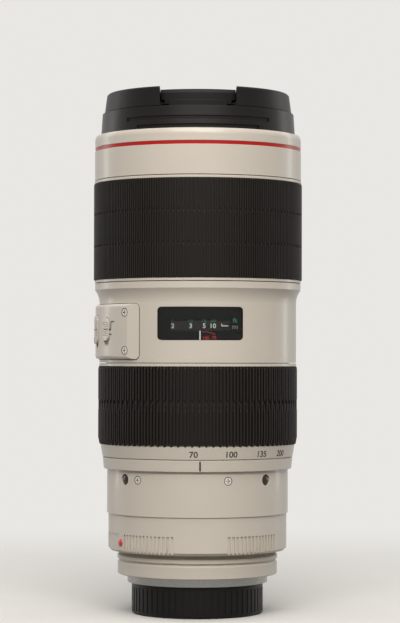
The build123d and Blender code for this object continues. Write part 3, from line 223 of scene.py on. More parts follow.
seen = seen_directly(tree)
fill = add_node(tree, "Background", {"Color": (1, 1, 1, 1), "Strength": fill_strength})
pale = add_node(tree, "Background", {"Color": backdrop, "Strength": 1})
mixed = add_node(tree, "MixShader", links={0: (seen, 0), 1: (fill, 0), 2: (pale, 0)})
add_node(tree, "OutputWorld", links={"Surface": (mixed, 0)})
print("world", world.name, "with a fill of", fill_strength)

# %% [markdown]
# The floor is a plain pale disc, wide enough to meet the backdrop at the horizon. It only has to
# catch the soft shadow under the cap, so a fine mottle in its colour is all the detail it needs.
# Away from the lens it fades into the backdrop, as on a studio's paper sweep. To the light that
# bounces it is a darker grey, so that the undersides of the rings stay in shade and their edges
# stand out, as they do in the photograph.

# %% Floor
floor_radius = 40.0
floor_steps = 96
paper_roughness = 0.8
mottles_per_metre = 30
fade_start = 0.06
fade_end = 0.5
floor_mesh = bpy.data.meshes.new("floor")
rim = [2 * math.pi * step / floor_steps for step in range(floor_steps)]
corners = [(floor_radius * math.cos(turn), floor_radius * math.sin(turn), 0) for turn in rim]
floor_mesh.from_pydata(corners, [], [list(range(floor_steps))])
floor = bpy.data.objects.new("floor", floor_mesh)
scene.collection.objects.link(floor)
floor_paper = bpy.data.materials.new("floor_paper")
floor_paper.use_nodes = True
tree = floor_paper.node_tree
paper = tree.nodes["Principled BSDF"]
paper.inputs["Roughness"].default_value = paper_roughness
place = add_node(tree, "TexCoord")
mottle = add_node(
    tree, "TexNoise", {"Scale": mottles_per_metre, "Detail": 2}, {"Vector": (place, "Object")}
)
shade = add_node(tree, "ValToRGB", links={"Fac": (mottle, "Fac")})
shade.color_ramp.elements[0].color = linear("#E4E1DC")
shade.color_ramp.elements[1].color = linear("#E8E6E1")
tree.links.new(shade.outputs["Color"], paper.inputs["Base Color"])
away = add_node(tree, "VectorMath", {"operation": "LENGTH"}, {0: (place, "Object")})
fade = add_node(
    tree,
    "MapRange",
    {"interpolation_type": "SMOOTHSTEP", "From Min": fade_start, "From Max": fade_end},
    {"Value": (away, "Value")},
)
sweep = add_node(tree, "Emission", {"Color": backdrop, "Strength": 1})
faded = add_node(tree, "MixShader", links={0: (fade, 0), 1: (paper, 0), 2: (sweep, 0)})
dull = add_node(tree, "BsdfDiffuse", {"Color": linear("#777572")})
seen = seen_directly(tree)
shown = add_node(tree, "MixShader", links={0: (seen, 0), 1: (dull, 0), 2: (faded, 0)})
tree.links.new(shown.outputs[0], tree.nodes["Material Output"].inputs["Surface"])
floor_mesh.materials.append(floor_paper)
print("floor", floor_radius, "m in radius")

# %% [markdown]
# Every finish below starts from a real material. The one function here makes its material with
# a shader whose even values sit on its own sockets. Then each cell adds the pattern that the
# eye would find on the real surface: grain, turning lines, mottle or moulded texture. Object
# coordinates are in metres, so a pattern that repeats every half millimetre has a scale of
# one over 0.0005.


# %% A new finish
def new_finish(name, base, roughness, **sockets):
    """A material with its plain values set, and with its tree, shader and coordinates."""
    material = bpy.data.materials.new(name)
    material.use_nodes = True
    tree = material.node_tree
    shader = tree.nodes["Principled BSDF"]
    values = {"Base Color": linear(base), "Roughness": roughness}
    for key, value in sockets.items():
        values[key.replace("_", " ").title().replace("Ior", "IOR")] = value
    for socket, value in values.items():
        shader.inputs[socket].default_value = value
    return material, tree, shader, add_node(tree, "TexCoord")


def grain(tree, shader, coordinates, size, depth, detail=2.0):
    """A fine bump of this size and depth, in metres, all over a finish."""
    fineness = {"Scale": 1 / size, "Detail": detail}
    pattern = add_node(tree, "TexNoise", fineness, {"Vector": (coordinates, "Object")})
    relief = {"Distance": depth, "Strength": 1.0}
    bump = add_node(tree, "Bump", relief, {"Height": (pattern, "Fac")})
    tree.links.new(bump.outputs["Normal"], shader.inputs["Normal"])
    return pattern


def mottled(tree, socket, pattern, low, high):
    """Let a pattern drive a socket between two values, or two hex colours."""
    ramp = add_node(tree, "ValToRGB", links={"Fac": (pattern, "Fac")})
    for element, value in zip(ramp.color_ramp.elements, (low, high)):
        element.color = linear(value) if isinstance(value, str) else (value, value, value, 1)
    tree.links.new(ramp.outputs["Color"], socket)


# %% [markdown]
# Baked enamel on aluminium. It is sprayed and cured, so it has a satin surface with a very fine
# orange peel. The paint is a warm white that keeps the lens cool in the sun. Such a peel is
# about 0.3 mm wide and is drawn at 0.5 mm, because it would vanish in the render.

# %% Warm white baked enamel
baked_enamel, tree, shader, place = new_finish(
    "baked_enamel", "#CFC6B9", 0.36, ior=1.5, coat_weight=0.15
)
grain(tree, shader, place, 0.5 * MM, 0.006 * MM)
cloud = add_node(
    tree, "TexNoise", {"Scale": 1 / (18 * MM), "Detail": 3}, {"Vector": (place, "Object")}
)
mottled(tree, shader.inputs["Base Color"], cloud, "#CCC3B6", "#D3CABD")
mottled(tree, shader.inputs["Roughness"], cloud, 0.33, 0.4)
print("finish", baked_enamel.name)

# %% [markdown]
# Red enamel fills the narrow ring behind the front rim. It is the same kind of paint, glossier
# and in one deep colour.

# %% Red enamel
red_enamel, tree, shader, place = new_finish(
    "red_enamel", "#B3120E", 0.3, ior=1.5, specular_ior_level=0.3
)
cloud = grain(tree, shader, place, 0.6 * MM, 0.004 * MM)
mottled(tree, shader.inputs["Base Color"], cloud, "#AD100D", "#B91410")
print("finish", red_enamel.name)

# %% [markdown]
# Black anodised aluminium. A lathe leaves rings on it, 0.1 mm apart, which the dyed oxide keeps.
# They run round the axis, so the pattern reads only the height, and light is drawn out across
# them. They are drawn 0.3 mm apart so that they show.

# %% Black anodised aluminium
black_anodised, tree, shader, place = new_finish(
    "black_anodised_aluminium", "#171514", 0.34, specular_ior_level=0.18
)
stretch = add_node(tree, "Mapping", {"Scale": (0.0, 0.0, 1.0)}, {"Vector": (place, "Object")})
turning = add_node(
    tree, "TexNoise", {"Scale": 1 / (0.3 * MM), "Detail": 3}, {"Vector": (stretch, "Vector")}
)
relief = {"Distance": 0.004 * MM, "Strength": 1.0}
bump = add_node(tree, "Bump", relief, {"Height": (turning, "Fac")})
tree.links.new(bump.outputs["Normal"], shader.inputs["Normal"])
mottled(tree, shader.inputs["Base Color"], turning, "#141211", "#1D1A18")
mottled(tree, shader.inputs["Roughness"], turning, 0.3, 0.42)
print("finish", black_anodised.name)

# %% [markdown]
# Nitrile rubber, moulded in a spark-eroded tool. It is nearly black with a brown tinge, and
# dull, because the tool leaves a fine grain. The grain is about 0.1 mm and is drawn at 0.25 mm.

# %% Grip rubber
grip_rubber, tree, shader, place = new_finish(
    "nitrile_rubber", "#16120F", 0.48, specular_ior_level=0.2
)
skin = grain(tree, shader, place, 0.25 * MM, 0.005 * MM, 3.0)
cloud = add_node(
    tree, "TexNoise", {"Scale": 1 / (9 * MM), "Detail": 4}, {"Vector": (place, "Object")}
)
mottled(tree, shader.inputs["Base Color"], cloud, "#130F0D", "#1C1714")
mottled(tree, shader.inputs["Roughness"], skin, 0.42, 0.55)
print("finish", grip_rubber.name)

# %% [markdown]
# ABS plastic, injection moulded in black. The caps have a fine satin texture that comes from the
# mould. Its grain is drawn at 0.35 mm. The black finishes here, this one, the rubber and the
# anodised rings, reflect less than usual: their specular level is lowered until they are about as
# dark as in the photograph, which was lit much more dimly.

# %% Moulded black plastic
black_abs, tree, shader, place = new_finish(
    "moulded_abs", "#141313", 0.42, specular_ior_level=0.15
)
skin = grain(tree, shader, place, 0.35 * MM, 0.008 * MM)
mottled(tree, shader.inputs["Roughness"], skin, 0.36, 0.5)
mottled(tree, shader.inputs["Base Color"], skin, "#121111", "#191817")
print("finish", black_abs.name)

# %% [markdown]
# Chromed brass makes the bayonet. It is metal, so it has no colour of its own beyond its
# reflection, and it keeps fine turning lines and a few wiping marks. Its colour is set darker
# than that of bright chrome, because a fresh mirror would vanish against the pale backdrop.

# %% Chromed brass
chromed_brass, tree, shader, place = new_finish("chromed_brass", "#858482", 0.26, metallic=1.0)
stretch = add_node(tree, "Mapping", {"Scale": (0.05, 0.05, 1.0)}, {"Vector": (place, "Object")})
turning = add_node(
    tree, "TexNoise", {"Scale": 1 / (0.3 * MM), "Detail": 3}, {"Vector": (stretch, "Vector")}
)
mottled(tree, shader.inputs["Roughness"], turning, 0.2, 0.34)
mottled(tree, shader.inputs["Base Color"], turning, "#7C7B79", "#8E8D8B")
print("finish", chromed_brass.name)

# %% [markdown]
# Small metal pieces share this recipe: a metal with a base colour, a roughness and a fine brushed
# or tumbled grain. Only those values tell zinc flake, black chrome, ground steel, blued steel
# and gold apart. Zinc flake is a grey coating of metal flakes in a binder, so it shines less
# than bare metal and is made a little less metallic.


# %% Small metals
def small_metal(name, dark, light, low, high, size, metallic=1.0):
    """A metal between two hex colours and two roughnesses, with a grain of this size."""
    metal, tree, shader, place = new_finish(name, light, low, metallic=metallic)
    rub = grain(tree, shader, place, size, 0.002 * MM)
    mottled(tree, shader.inputs["Base Color"], rub, dark, light)
    mottled(tree, shader.inputs["Roughness"], rub, low, high)
    print("finish", metal.name)
    return metal


zinc_flake = small_metal("zinc_flake_steel", "#D6D1C7", "#E6E1D8", 0.4, 0.5, 0.3 * MM, 0.6)
black_chrome = small_metal("black_chrome", "#3A3531", "#463F3A", 0.1, 0.16, 0.4 * MM)
ground_steel = small_metal("ground_steel", "#8D8B88", "#A5A39F", 0.3, 0.45, 0.3 * MM)
blued_steel = small_metal("blued_spring_steel", "#22252B", "#2E3239", 0.3, 0.42, 0.4 * MM)
gold_plate = small_metal("gold_plate", "#C79A45", "#DDB460", 0.2, 0.32, 0.3 * MM)

# %% [markdown]
# The cross in a screw head is so small that light from all sides would wash it out, while the
# photograph shows it dark. So shade is painted into the recesses: ambient occlusion measures how
# closed in a point is, and the colour is darkened there as painted shade. The finish of the real
# screws isn't known, and this one is only matched to their look.

# %% Painted shade in the recesses of the screws
recess_reach = 0.5 * MM
deepest_share = 0.35
open_share = 0.85
tree = zinc_flake.node_tree
shader = tree.nodes["Principled BSDF"]
clean = shader.inputs["Base Color"].links[0].from_node
# Painted shade: the base colour is darkened where a point is closed in, as shade falls in a
# recess.
hidden = add_node(tree, "AmbientOcclusion", {"Distance": recess_reach, "samples": 8})
shade_ramp = add_node(tree, "ValToRGB", links={"Fac": (hidden, "AO")})
shade_ramp.color_ramp.elements[0].position = deepest_share
shade_ramp.color_ramp.elements[1].position = open_share
factors = {0: (clean, "Color"), 1: (shade_ramp, "Color")}
painted_shade_colour = add_node(tree, "VectorMath", {"operation": "MULTIPLY"}, factors)
tree.links.new(painted_shade_colour.outputs["Vector"], shader.inputs["Base Color"])
print("finish", zinc_flake.name, "with dark recesses")

# %% [markdown]
# The slide switches are moulded in a pale plastic that matches the paint. It is a touch glossier
# and has no orange peel.

# %% Pale switch plastic
switch_plastic, tree, shader, place = new_finish(
    "pale_moulded_abs", "#CBC2B5", 0.32, ior=1.54
)
skin = grain(tree, shader, place, 0.4 * MM, 0.003 * MM)
mottled(tree, shader.inputs["Base Color"], skin, "#C6BDB0", "#CFC6BA")
print("finish", switch_plastic.name)

# %% [markdown]
# Behind the window lie a matt black mask and the dark grey drum that carries the scale. Both are
# lacquered metal, dull enough to hide behind the gloss of the pane.

# %% Lacquers behind the window
# The same matt black also draws painted shade: the dark lines in the gap round the switch panel
# and round the heads of the small screws.
mask_lacquer_and_shade, tree, shader, place = new_finish(
    "matt_black_lacquer_and_shade", "#0B0A0A", 0.6, specular_ior_level=0.1
)
dust = grain(tree, shader, place, 0.4 * MM, 0.004 * MM)
mottled(tree, shader.inputs["Base Color"], dust, "#090808", "#0F0E0E")
drum_lacquer, tree, shader, place = new_finish(
    "dark_grey_lacquer", "#2E2B2A", 0.5, specular_ior_level=0.15
)
dust = grain(tree, shader, place, 0.4 * MM, 0.004 * MM)
mottled(tree, shader.inputs["Base Color"], dust, "#2A2726", "#343130")
print("finish", mask_lacquer_and_shade.name, drum_lacquer.name)

# %% [markdown]
# The pane is clear acrylic, about half a millimetre thick. Glass that bends light would leave the
# drum unlit, because lamps can't shine through it. A thin pane hardly bends anything, so it is
# mixed from a see-through shader and a mirror, and Fresnel says how much of each is seen. The
# photograph shows hardly any reflection on the pane, so its IOR is matched to that and lies below
# the 1.49 of acrylic. What the real pane is coated with isn't known.

# %% Acrylic pane
pane_ior = 1.22
pane_roughness = 0.03
acrylic = bpy.data.materials.new("clear_acrylic")
acrylic.use_nodes = True
tree = acrylic.node_tree
tree.nodes.clear()
place = add_node(tree, "TexCoord")
ripple = add_node(tree, "TexNoise", {"Scale": 1 / (12 * MM)}, {"Vector": (place, "Object")})
wave = add_node(tree, "Bump", {"Distance": 0.01 * MM}, {"Height": (ripple, "Fac")})
edge_on = add_node(tree, "Fresnel", {"IOR": pane_ior}, {"Normal": (wave, "Normal")})
through = add_node(tree, "BsdfTransparent", {"Color": linear("#F3F5F4")})
gloss = {"Color": (1, 1, 1, 1), "Roughness": pane_roughness}
mirror = add_node(tree, "BsdfGlossy", gloss, {"Normal": (wave, "Normal")})
pane_mix = add_node(tree, "MixShader", links={0: (edge_on, 0), 1: (through, 0), 2: (mirror, 0)})
add_node(tree, "OutputMaterial", links={"Surface": (pane_mix, 0)})
print("finish", acrylic.name)

# %% [markdown]
# The lens elements are solid glass, so here light does bend. A thin anti-reflection coating, about
# a quarter of a wavelength thick, gives them a faint violet sheen, which the thin film of the
# shader makes.

# %% Coated optical glass
optical_glass, tree, shader, place = new_finish(
    "coated_optical_glass",
    "#FFFFFF",
    0.0,
    ior=1.6,
    transmission_weight=1.0,
    thin_film_thickness=115.0,
    thin_film_ior=1.38,
)
smear = add_node(tree, "TexNoise", {"Scale": 1 / (8 * MM)}, {"Vector": (place, "Object")})
mottled(tree, shader.inputs["Roughness"], smear, 0.0, 0.02)
print("finish", optical_glass.name)

# %% [markdown]
# Two plastics are left for the electrics: the green laminate of the circuit board, with its
# woven glass just visible, and the dark plastic that holds the contacts.

# %% Laminate and contact plastic
laminate, tree, shader, place = new_finish("glass_laminate", "#1E5B3A", 0.4)
threads = {"Scale": 1 / (1.2 * MM), "Distortion": 0.5}
weave = add_node(tree, "TexWave", threads, {"Vector": (place, "Object")})
mottled(tree, shader.inputs["Base Color"], weave, "#1A5034", "#23663F")
contact_plastic, tree, shader, place = new_finish("glass_filled_nylon", "#1B1A1A", 0.5)
fibre = grain(tree, shader, place, 0.3 * MM, 0.006 * MM)
mottled(tree, shader.inputs["Base Color"], fibre, "#171616", "#222121")
print("finish", laminate.name, contact_plastic.name)

# %% [markdown]
# Scales and marks are pad printed: a soft pad lays a thin, flat film of ink on the curved ring.
# The film is dull and covers a little unevenly, so each ink wavers between two close shades.


# %% Printing inks
def ink(name, colour, shade):
    """A printed ink: flat, with the slightly uneven cover of pad printing."""
    material, tree, shader, place = new_finish(name, colour, 0.5)
    cover = grain(tree, shader, place, 0.3 * MM, 0.002 * MM)
    mottled(tree, shader.inputs["Base Color"], cover, shade, colour)
    print("ink", name, colour)
    return material


black_ink = ink("black_ink", "#1D1917", "#161311")
white_ink = ink("white_ink", "#F6F5F2", "#ECEBE6")
green_ink = ink("green_ink", "#34906B", "#2C7D5D")
grey_ink = ink("grey_ink", "#8F8A86", "#807B77")
red_ink = ink("red_ink", "#CE1B20", "#B9171B")

# %% [markdown]
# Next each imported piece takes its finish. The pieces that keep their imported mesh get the
# material straight in their slot. A table with one line per finish reads like a parts list.

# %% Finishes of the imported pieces
finishes = {
    baked_enamel: "rear_barrel mount_ring main_barrel front_barrel front_rim zoom_ring "
    "focus_ring switch_panel",
    black_anodised: "filter_ring front_cell rear_cell guide_tube cam_barrel variator_cell "
    "compensator_cell focus_cell stabilizer_housing stabilizer_frame stabilizer_cell "
    "iris_housing iris_drive_ring",
    red_enamel: "red_ring",
    grip_rubber: "zoom_grip focus_grip",
    black_abs: "front_cap pinch_tab_front pinch_tab_rear rear_cap",
    chromed_brass: "bayonet_mount",
    zinc_flake: "barrel_screws mount_screws tab_springs",
    black_chrome: "collar_studs",
    ground_steel: "zoom_keys motor_stator motor_rotor",
    blued_steel: " ".join(f"iris_blade_{index}" for index in range(1, 9)),
    gold_plate: "contact_pins",
    switch_plastic: "switch_1 switch_2 switch_3 switch_4",
    mask_lacquer_and_shade: "window_mask",
    drum_lacquer: "distance_drum",
    acrylic: "distance_window",
    optical_glass: "front_element rear_element variator_element compensator_element "
    "focus_element stabilizer_element",
    laminate: "circuit_board",
    contact_plastic: "contact_block",
}
for material, names in finishes.items():
    for name in names.split():
        mesh = frame["nodes"][name].data
        mesh.materials.clear()
        mesh.materials.append(material)


# %% [markdown]
# A piece made here is a mesh in a new object. It rides on a body of the imported model, so that it
# moves with it, and where it stands for an imported node, that node is hidden.


# %% Put a piece in place
def place_piece(name, mesh, material, body, replaced=()):
    """Make an object of a mesh, give it its finish and let it ride on a body."""
    mesh.materials.clear()
    mesh.materials.append(material)
    piece = bpy.data.objects.new(name, mesh)
    scene.collection.objects.link(piece)
    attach(piece, body)
    if replaced:
        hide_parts(*replaced)


# %% [markdown]
# A machined or moulded edge is never sharp: it is broken by a tenth or two of a millimetre, and
# that narrow round is what catches the light. Each outer piece is copied, its points are
# merged, the flat faces are joined again and every sharp edge gets a small round. An edge that
# ends at something shorter than the round stays sharp, because the round would fold over there.
#
# The copy must also shade like the turned surface, not like its flat facets. So each corner of
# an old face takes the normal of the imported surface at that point, and the round between two
# faces takes theirs at its borders and blends from one to the other.

# %% Round the edges of the outer pieces
merge_distance = 0.002 * MM
search_distance = 4 * merge_distance
flat_angle = math.radians(0.3)
sharp_angle = math.radians(28)
shortest_neighbour = 2.2
round_segments = 2


def surface_normals(source, mesh, is_round):
    """A normal for each corner of a rounded copy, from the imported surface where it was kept."""
    old = source.data
    old_points = [vertex.co for vertex in old.vertices]
    tree = BVHTree.FromPolygons(old_points, [polygon.vertices[:] for polygon in old.polygons])
    normals = [Vector()] * len(mesh.loops)
    kept = {}
    for polygon in mesh.polygons:
        if is_round[polygon.index]:
            continue
        for loop in polygon.loop_indices:
            corner = mesh.loops[loop].vertex_index
            near = tree.find_nearest_range(mesh.vertices[corner].co, search_distance)
            normal = polygon.normal.copy()
            if near:
                place, _, index, _ = max(near, key=lambda hit: hit[1].dot(polygon.normal))
                face = old.polygons[index]
                weights = poly_3d_calc([old_points[point] for point in face.vertices], place)
                sides = [old.corner_normals[side].vector for side in face.loop_indices]
                blend = sum((side * weight for side, weight in zip(sides, weights)), Vector())
                normal = blend.normalized()
            normals[loop] = normal
            kept.setdefault(corner, []).append(normal)
    middle = {}
    for polygon in mesh.polygons:
        if is_round[polygon.index]:
            for corner in polygon.vertices:
                middle[corner] = middle.get(corner, Vector()) + polygon.normal * polygon.area
    for polygon in mesh.polygons:
        if is_round[polygon.index]:
            for loop in polygon.loop_indices:
                corner = mesh.loops[loop].vertex_index
                choices = kept.get(corner, [middle[corner]])
                closest = max(choices, key=lambda normal: normal.dot(polygon.normal))
                normals[loop] = closest.normalized()
    return normals


def rounded_copy(node, edge):
    """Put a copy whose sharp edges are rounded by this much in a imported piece's place."""
    source = frame["nodes"][node]
    mesh_maker = bmesh.new()
    mesh_maker.from_mesh(source.data)
    bmesh.ops.remove_doubles(mesh_maker, verts=mesh_maker.verts, dist=merge_distance)
    bmesh.ops.dissolve_limit(
        mesh_maker, angle_limit=flat_angle, verts=mesh_maker.verts, edges=mesh_maker.edges
    )
    shortest = shortest_neighbour * edge
    cramped = {v for e in mesh_maker.edges if e.calc_length() < shortest for v in e.verts}
    sharp = [
        e
        for e in mesh_maker.edges
        if len(e.link_faces) == 2
        and e.calc_face_angle(0) > sharp_angle
        and not cramped.intersection(e.verts)
    ]
    round_mark = mesh_maker.faces.layers.int.new("round")
    sharp_count = len(sharp)
    made = bmesh.ops.bevel(
        mesh_maker,
        geom=sharp,
        offset=edge,
        offset_type="OFFSET",
        segments=round_segments,
        profile=0.5,
        affect="EDGES",
        clamp_overlap=True,
    )
    for face in made["faces"]:
        face[round_mark] = 1
    for face in mesh_maker.faces:
        face.smooth = True
    mesh = bpy.data.meshes.new(node + "_rounded")
    mesh_maker.to_mesh(mesh)
    open_edges = sum(len(e.link_faces) != 2 for e in mesh_maker.edges)
    mesh_maker.free()
    is_round = [mark.value for mark in mesh.attributes["round"].data]
    mesh.normals_split_custom_set(surface_normals(source, mesh, is_round))
    mesh.attributes.remove(mesh.attributes["round"])
    material = source.data.materials[0]
    place_piece(node + "_rounded", mesh, material, source["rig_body"], (node,))
    print(f"{node}: {sharp_count} edges rounded, {open_edges} left open")


edges = {
    0.25 * MM: "main_barrel",
    0.15 * MM: "mount_ring rear_barrel zoom_ring focus_ring front_barrel front_rim filter_ring",
    0.12 * MM: "red_ring switch_panel bayonet_mount",
    0.2 * MM: "front_cap pinch_tab_front pinch_tab_rear rear_cap",
    0.1 * MM: "switch_1 switch_2 switch_3 switch_4",
}
for edge, names in edges.items():
    for name in names.split():
        rounded_copy(name, edge)


# %% [markdown]
# The grips are moulded rubber sleeves. Seen close up, two kinds of rib take turns round each
# sleeve: a main rib that is cut by short notches and a plain one that runs through. A sleeve is
# a stack of rings of points. Each level says how far the main and the plain ribs stand up
# there, from 0 for the floor of the valleys to 1 for full height. That draws the notches and
# the rounded rib ends in one mesh, with no cutting.

# %% One rib across, and a sleeve of ribs
rib_across_shares = (-0.44, -0.31, -0.25, -0.1, 0.1, 0.25, 0.31)
rib_height_shares = (0.0, 0.0, 0.82, 1.0, 1.0, 0.82, 0.0)
rib_crease = math.radians(40)


def steadied(levels, reach=0.4 * MM):
    """Add a level near both ends of each long stretch, so that the bends there shade crisply."""
    fuller = [levels[0]]
    for low, high in zip(levels, levels[1:]):
        length = high[0] - low[0]
        if length > 3 * reach:
            for share in (reach / length, 1 - reach / length):
                fuller.append(tuple(a + (b - a) * share for a, b in zip(low, high)))
        fuller.append(high)
    return fuller


def ribbed_sleeve(name, bore, crest, depth, pairs, levels, scallop=0.0):
    """A closed sleeve of rib pairs; each level is (height, main rib share, plain rib share).

    All but the main ribs end higher by the scallop, which fades out over three times its size.
    """
    foot = levels[0][0]
    levels = steadied(levels)
    turns = []
    for pair in range(pairs):
        for kind in (0, 1):
            for across, up in zip(rib_across_shares, rib_height_shares):
                middle = pair + (kind + 0.5) / 2
                turns.append((2 * math.pi * (middle + across / 2) / pairs, kind, up))

    def lifted(height, kind, up):
        fade = max(0.0, 1 - (height - foot) / (3 * scallop)) if scallop else 0.0
        return height + scallop * fade * (1 if kind else 1 - up)

    points = []
    for height, *shares in levels:
        for turn, kind, up in turns:
            radius = crest - depth * (1 - up * shares[kind])
            rise = lifted(height, kind, up)
            points.append((radius * math.sin(turn), -radius * math.cos(turn), rise))
    for height in (levels[-1][0], foot):
        for turn, kind, up in turns:
            rise = lifted(height, kind, up)
            points.append((bore * math.sin(turn), -bore * math.cos(turn), rise))
    around = len(turns)
    rings = len(levels) + 2
    faces = []
    for row in range(rings):
        for step in range(around):
            a, b = row * around + step, row * around + (step + 1) % around
            faces.append((a, b, (b + around) % (rings * around), (a + around) % (rings * around)))
    mesh = bpy.data.meshes.new(name)
    mesh.from_pydata(points, [], faces)
    mesh.polygons.foreach_set("use_smooth", [True] * len(mesh.polygons))
    mesh.set_sharp_from_angle(angle=rib_crease)
    return mesh


print("a pair of ribs has", 2 * len(rib_across_shares), "points across")


# %% [markdown]
# The focus grip has 128 pairs of fine ribs, a little over a millimetre each. Its main ribs are
# cut by two rows of notches, which the photograph shows as two dotted lines.


# %% Focus grip
def notch_levels(low, high, round_off):
    """Levels of a notch across the main ribs, with the rib ends rounded off beside it."""
    return [
        (low - round_off, 1, 1),
        (low - round_off / 4, 0.8, 1),
        (low, 0, 1),
        (high, 0, 1),
        (high + round_off / 4, 0.8, 1),
        (high + round_off, 1, 1),
    ]


def end_levels(low, high, round_off):
    """The first and last levels of a sleeve, where both ribs are rounded off."""
    first = [(low, 0.3, 0.3), (low + round_off / 3, 0.85, 0.85), (low + round_off, 1, 1)]
    last = [(high - round_off, 1, 1), (high - round_off / 3, 0.85, 0.85), (high, 0.3, 0.3)]
    return first, last


focus_low, focus_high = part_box("focus_grip")
carrier_gap = 0.05 * MM
rubber_thickness = 1.6 * MM
focus_crest = focus_high.x
focus_bore = focus_crest - rubber_thickness + carrier_gap
focus_rib_depth = 0.5 * MM
focus_pairs = 128
focus_notch_height = 0.7 * MM
focus_notches = (154.9 * MM, 168.5 * MM)
rib_round = 0.45 * MM
first, last = end_levels(focus_low.z, focus_high.z, rib_round)
levels = list(first)
for notch in focus_notches:
    levels += notch_levels(notch, notch + focus_notch_height, rib_round)
levels += last
focus_mesh = ribbed_sleeve(
    "focus_grip_rubber", focus_bore, focus_crest, focus_rib_depth, focus_pairs, levels
)
place_piece("focus_grip_rubber", focus_mesh, grip_rubber, "focus", ("focus_grip",))
print("focus grip", len(focus_mesh.polygons), "faces")

# %% [markdown]
# The zoom grip is coarser: 90 pairs. Below its notches the main ribs lie a little deeper for two
# millimetres and then step out again, a stop for the fingers that catches light as a row of
# dots. Both ribs fade towards the scale, and the main ones end lower, which gives the rubber
# its scalloped edge.

# %% Zoom grip
zoom_low, zoom_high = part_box("zoom_grip")
zoom_crest = zoom_high.x
zoom_bore = zoom_crest - rubber_thickness + carrier_gap
zoom_rib_depth = 0.9 * MM
zoom_pairs = 90
zoom_notch = 89.1 * MM
zoom_notch_height = 1.2 * MM
stop_low = 86.3 * MM
stop_slope = 0.7 * MM
stop_share = 0.68
fade_height = 3.0 * MM
plain_end = 0.7 * MM
top_bevel = 0.9 * MM
scallop = 0.45 * MM
levels = [
    (zoom_low.z, 0.3, 0.0),
    (zoom_low.z + plain_end / 3, 0.42, 0.0),
    (zoom_low.z + plain_end, 0.5, 0.05),
    (zoom_low.z + plain_end + rib_round / 2, 0.56, 0.4),
    (zoom_low.z + fade_height, 1, 0.9),
    (stop_low, 1, 0.9),
    (stop_low + stop_slope, stop_share, 0.9),
    (zoom_notch - rib_round, stop_share, 0.9),
    (zoom_notch - rib_round / 4, stop_share * 0.8, 0.9),
    (zoom_notch, 0, 0.9),
    (zoom_notch + zoom_notch_height, 0, 0.9),
    (zoom_notch + zoom_notch_height + rib_round / 4, 0.8, 0.9),
    (zoom_notch + zoom_notch_height + rib_round, 1, 0.9),
    (zoom_high.z - top_bevel, 1, 0.9),
    (zoom_high.z - top_bevel / 6, 0.4, 0.8),
    (zoom_high.z, 0.2, 0.4),
]
zoom_mesh = ribbed_sleeve(
    "zoom_grip_rubber", zoom_bore, zoom_crest, zoom_rib_depth, zoom_pairs, levels, scallop
)
place_piece("zoom_grip_rubber", zoom_mesh, grip_rubber, "zoom", ("zoom_grip",))
print("zoom grip", len(zoom_mesh.polygons), "faces")

# %% [markdown]
# Numbers and lines are pad printed. Artwork is drawn flat, x to the right and y up, and then
# wrapped round the barrel: x becomes an angle, y a height, and z the thickness of the ink. The
# typeface is Blender's own, with its strokes a little thickened. A line follows its points in
# steps of a millimetre, so that it bends with the barrel.


# %% Wrap flat artwork round a surface
ink_thickness = 0.03 * MM
stroke_gain = 0.016
curve_steps = 5
letter_half_depth = 0.5
longest_step = 1 * MM


def cylinder(radius):
    """The radius at any height of a surface that is a plain cylinder."""
    return lambda height: radius


def wrapped(mesh, angle, height, radius_at):
    """Bend a flat mesh round the axis; angle is in degrees from the front towards +X."""
    for vertex in mesh.vertices:
        across, up, out = vertex.co
        radius = radius_at(height + up)
        turn = math.radians(angle) + across / radius
        radius += out + ink_thickness / 3
        vertex.co = (radius * math.sin(turn), -radius * math.cos(turn), height + up)
    return mesh


def printed_text(name, words, tall, angle, height, radius_at, colour, body, slot, squeeze=1.07):
    """Print a short text whose capitals are this tall, centred on an angle and a height."""
    letters = bpy.data.curves.new(name, "FONT")
    letters.body = words
    letters.resolution_u = curve_steps
    letters.extrude = letter_half_depth
    letters.offset = stroke_gain
    drawn = bpy.data.objects.new(name + "_drawing", letters)
    scene.collection.objects.link(drawn)
    graph = bpy.context.evaluated_depsgraph_get()
    mesh = bpy.data.meshes.new_from_object(drawn.evaluated_get(graph))
    bpy.data.objects.remove(drawn)
    sides = [[vertex.co[axis] for vertex in mesh.vertices] for axis in (0, 1)]
    middle = [(min(side) + max(side)) / 2 for side in sides]
    scale = tall / (max(sides[1]) - min(sides[1]))
    for vertex in mesh.vertices:
        across, up, out = vertex.co
        vertex.co = (
            (across - middle[0]) * scale * squeeze,
            (up - middle[1]) * scale,
            (out + letter_half_depth) * ink_thickness,
        )
    wrapped(mesh, angle, height, radius_at)
    mesh.name = name
    place_piece(name, mesh, colour, body)


